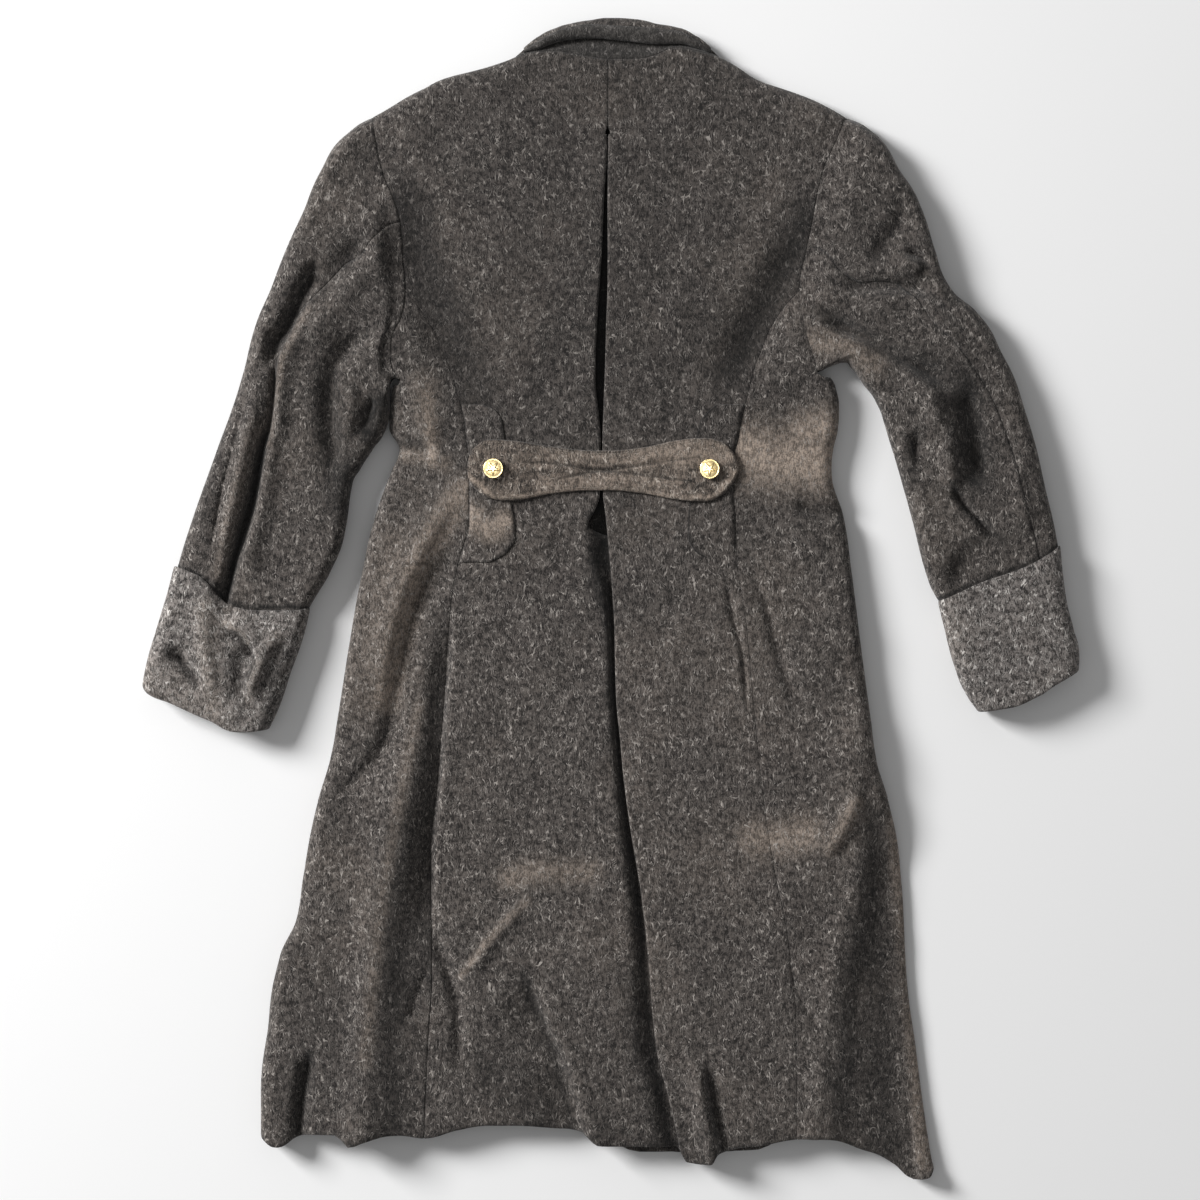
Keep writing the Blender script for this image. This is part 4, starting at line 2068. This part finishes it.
CUTS = {
    "back_left": Cut(0.41, 1.23, 0.292, ("front_left", "front_right")),
    "back_right": Cut(0.40, 1.23, 0.252, ("front_right", "back_left")),
    "front_left": Cut(0.66, 1.23, 0.516, ()),
    "front_right": Cut(0.66, 1.23, 0.510, ("front_left",)),
    "cuff_left": Cut(0.40, 0.15, 0.0525, ("sleeve_top_left",)),
    "cuff_right": Cut(0.37, 0.15, 0.0457, ("sleeve_top_right",)),
    "pleat_underlay": Cut(0.08, 0.445, 0.0355, ("back_left", "back_right")),
    "half_belt": Cut(0.30, 0.068, 0.0157, ("belt_flap_left", "belt_flap_right")),
    "collar_stand": Cut(0.23, 0.03, 0.0037, ("back_left", "back_right")),
    "under_collar": Cut(0.21, 0.03, 0.0035, ("top_collar",)),
    "top_collar": Cut(0.21, 0.035, 0.0039, ("collar_front_left", "collar_front_right")),
    "collar_front_left": Cut(0.15, 0.11, 0.0070, ()),
    "collar_front_right": Cut(0.16, 0.12, 0.0083, ()),
    **{side.name("sleeve_top"): Cut(0.24, 0.62, 0.105, ()) for side in Side},
    **{side.name("sleeve_under"): Cut(0.18, 0.56, 0.061, (side.name("sleeve_top"),))
       for side in Side},
    **{side.name("belt_flap"): Cut(0.055, 0.175, 0.0075, (side.name("back"),)) for side in Side},
}


def sheets_of_coat() -> list[Sheet]:
    """Every cloth piece of the coat as a sheet, sewn where they meet."""
    sheets: list[Sheet] = []
    necks: dict[Side, Array] = {}
    collar = Collar()
    for side in Side:
        back = BackHalf(side)
        back_sheet, back_grid, level = back.sheet()
        front = FrontHalf(side)
        front_sheet, front_grid, _ = front.sheet()
        rows = np.arange(level.tip, level.underarm - 1, -1)
        upper = np.where((rows >= level.seam_top)[:, None], back_grid[rows, 0],
                         front_grid[rows, front.columns])
        lower = front_grid[rows, front.columns + front.turn]
        necks[side] = back_grid[-1, :back.columns + 1]
        sheets += [back_sheet, front_sheet, *Sleeve(side).sheets(upper, lower),
                   Cuff(side).sheet(), Flap(side).sheet(),
                   collar.front_sheet(side, front_grid, level)]
    sheets += [Underlay().sheet(), HalfBelt().sheet(),
               *collar.sheets(necks[Side.LEFT], necks[Side.RIGHT])]
    sew([sheet for sheet in sheets if sheet.sewn])
    return sheets


SPECIAL_CLOTH = {"half_belt": BELT_WOOL, "collar_stand": COLLAR_WOOL, "under_collar": COLLAR_WOOL,
                 "cuff_left": CUFF_WOOL, "cuff_right": CUFF_WOOL}


@dataclass
class Greatcoat:
    """The whole coat: its cloth pieces, the half-belt's buttons, and the rows of stitches."""

    stitch_inset: float = 2.3
    button_lift: float = 0.3

    def declare(self, piece: bpy.types.Object, finish: bpy.types.Material, slot: str,
                stands_for: str | None = None) -> bpy.types.Object:
        """Gives a piece its finish and says what it is.

        Args:
            piece: The piece.
            finish: Its material.
            slot: Its slot in the record.
            stands_for: The solid that it replaces, if any.

        Returns:
            The piece.
        """
        piece.data.materials.append(finish)
        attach(piece, "root")
        if stands_for is not None:
            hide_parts(stands_for)
        log.info("%s: %d faces", piece.name, len(piece.data.polygons))
        return piece

    def build(self) -> None:
        group = wool_group()
        finishes = {finish: finish.build(group)
                    for finish in (COAT_WOOL, COLLAR_WOOL, BELT_WOOL, CUFF_WOOL)}
        gilt = GiltFinish().build()
        laid: dict[str, bpy.types.Object] = {}
        for sheet in sheets_of_coat():
            finish = SPECIAL_CLOTH.get(sheet.name, COAT_WOOL)
            piece = thicken(sheet)
            piece.name = f"{sheet.name}_cloth"
            laid[sheet.name] = self.declare(piece, finishes[finish], finish.slot, sheet.name)
        belt = HalfBelt()
        buttons = []
        for side in Side:
            x, y = BUTTONS[side]
            face = float(belt.height(np.array([x]), np.array([y]))[0]) + belt.thick / 2
            buttons.append(self.declare(BeltButton(side).make(face + self.button_lift), gilt,
                                        "gilt", side.name("belt_button")))
        rows = ((ThreadRow("belt_stitches", belt.edge_row(self.stitch_inset)), BELT_THREAD,
                 "belt_wool"),
                (ThreadRow("pleat_stitches", pleat_stitch(), thick=0.7), PLEAT_THREAD, "wool"))
        sewing = [self.declare(row.make(), finish.build(), slot) for row, finish, slot in rows]
        on_top = {"half_belt": [*buttons, sewing[0]], "back_left": [sewing[1]]}
        for name, piece in laid.items():
            cut = CUTS[name]
            list(cut.rests_on)
            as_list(on_top.get(name, []))


# Studio


@dataclass
class Studio:
    """The floor, the lights and the camera straight above the coat."""

    view_height: float = 4.0
    view_width: float = 1.32
    sensor: float = 36.0
    focus_height: float = 0.015
    world_light: float = 0.27

    def floor(self) -> None:
        """A plain pale floor under the coat."""
        bpy.ops.mesh.primitive_plane_add(size=12, location=(0, 0, -0.0002))
        plane = bpy.context.object
        plane.name = "floor"
        pale = new_surface("pale floor", Base_Color=(0.9, 0.9, 0.9, 1), Roughness=0.9)[0]
        plane.data.materials.append(pale)

    def light(self, name: str, place: tuple[float, float, float], size: float,
              power: float) -> bpy.types.Object:
        """A square soft light that faces the coat's middle.

        Args:
            name: The light's name.
            place: Where it stands, in metres.
            size: Its side in metres.
            power: Its power in watts.

        Returns:
            The light.
        """
        data = bpy.data.lights.new(name, "AREA")
        data.size = size
        data.energy = power
        lamp = bpy.data.objects.new(name, data)
        lamp.location = place
        lamp.rotation_euler = (-Vector(place)).to_track_quat("-Z", "Y").to_euler()
        bpy.context.scene.collection.objects.link(lamp)
        return lamp

    def camera(self) -> None:
        """The camera, looking straight down with the collar at the top."""
        data = bpy.data.cameras.new("camera")
        data.type = "PERSP"
        data.sensor_width = self.sensor
        data.lens = self.sensor * (self.view_height - self.focus_height) / self.view_width
        camera = bpy.data.objects.new("camera", data)
        middle = ground.place(np.zeros(3))
        camera.location = (middle[0], middle[1], self.view_height)
        bpy.context.scene.collection.objects.link(camera)
        bpy.context.scene.camera = camera

    def build(self) -> None:
        """Sets the studio up."""
        world = bpy.data.worlds.new("studio")
        world.use_nodes = True
        background = world.node_tree.nodes["Background"]
        background.inputs["Color"].default_value = (1, 1, 1, 1)
        background.inputs["Strength"].default_value = self.world_light
        bpy.context.scene.world = world
        bpy.context.scene.view_settings.view_transform = "Standard"
        self.floor()
        self.light("key", (-4.6, 2.3, 2.95), 2.0, 520.0)
        overhead = self.light("overhead for the metal", (-0.4, 0.3, 4.4), 1.6, 90.0)
        overhead.visible_diffuse = False
        self.camera()


def main() -> None:
    """Builds the coat and the studio."""
    logging.basicConfig(level=logging.INFO, format="%(message)s")
    Greatcoat().build()
    Studio().build()


if __name__ == "__main__":
    main()
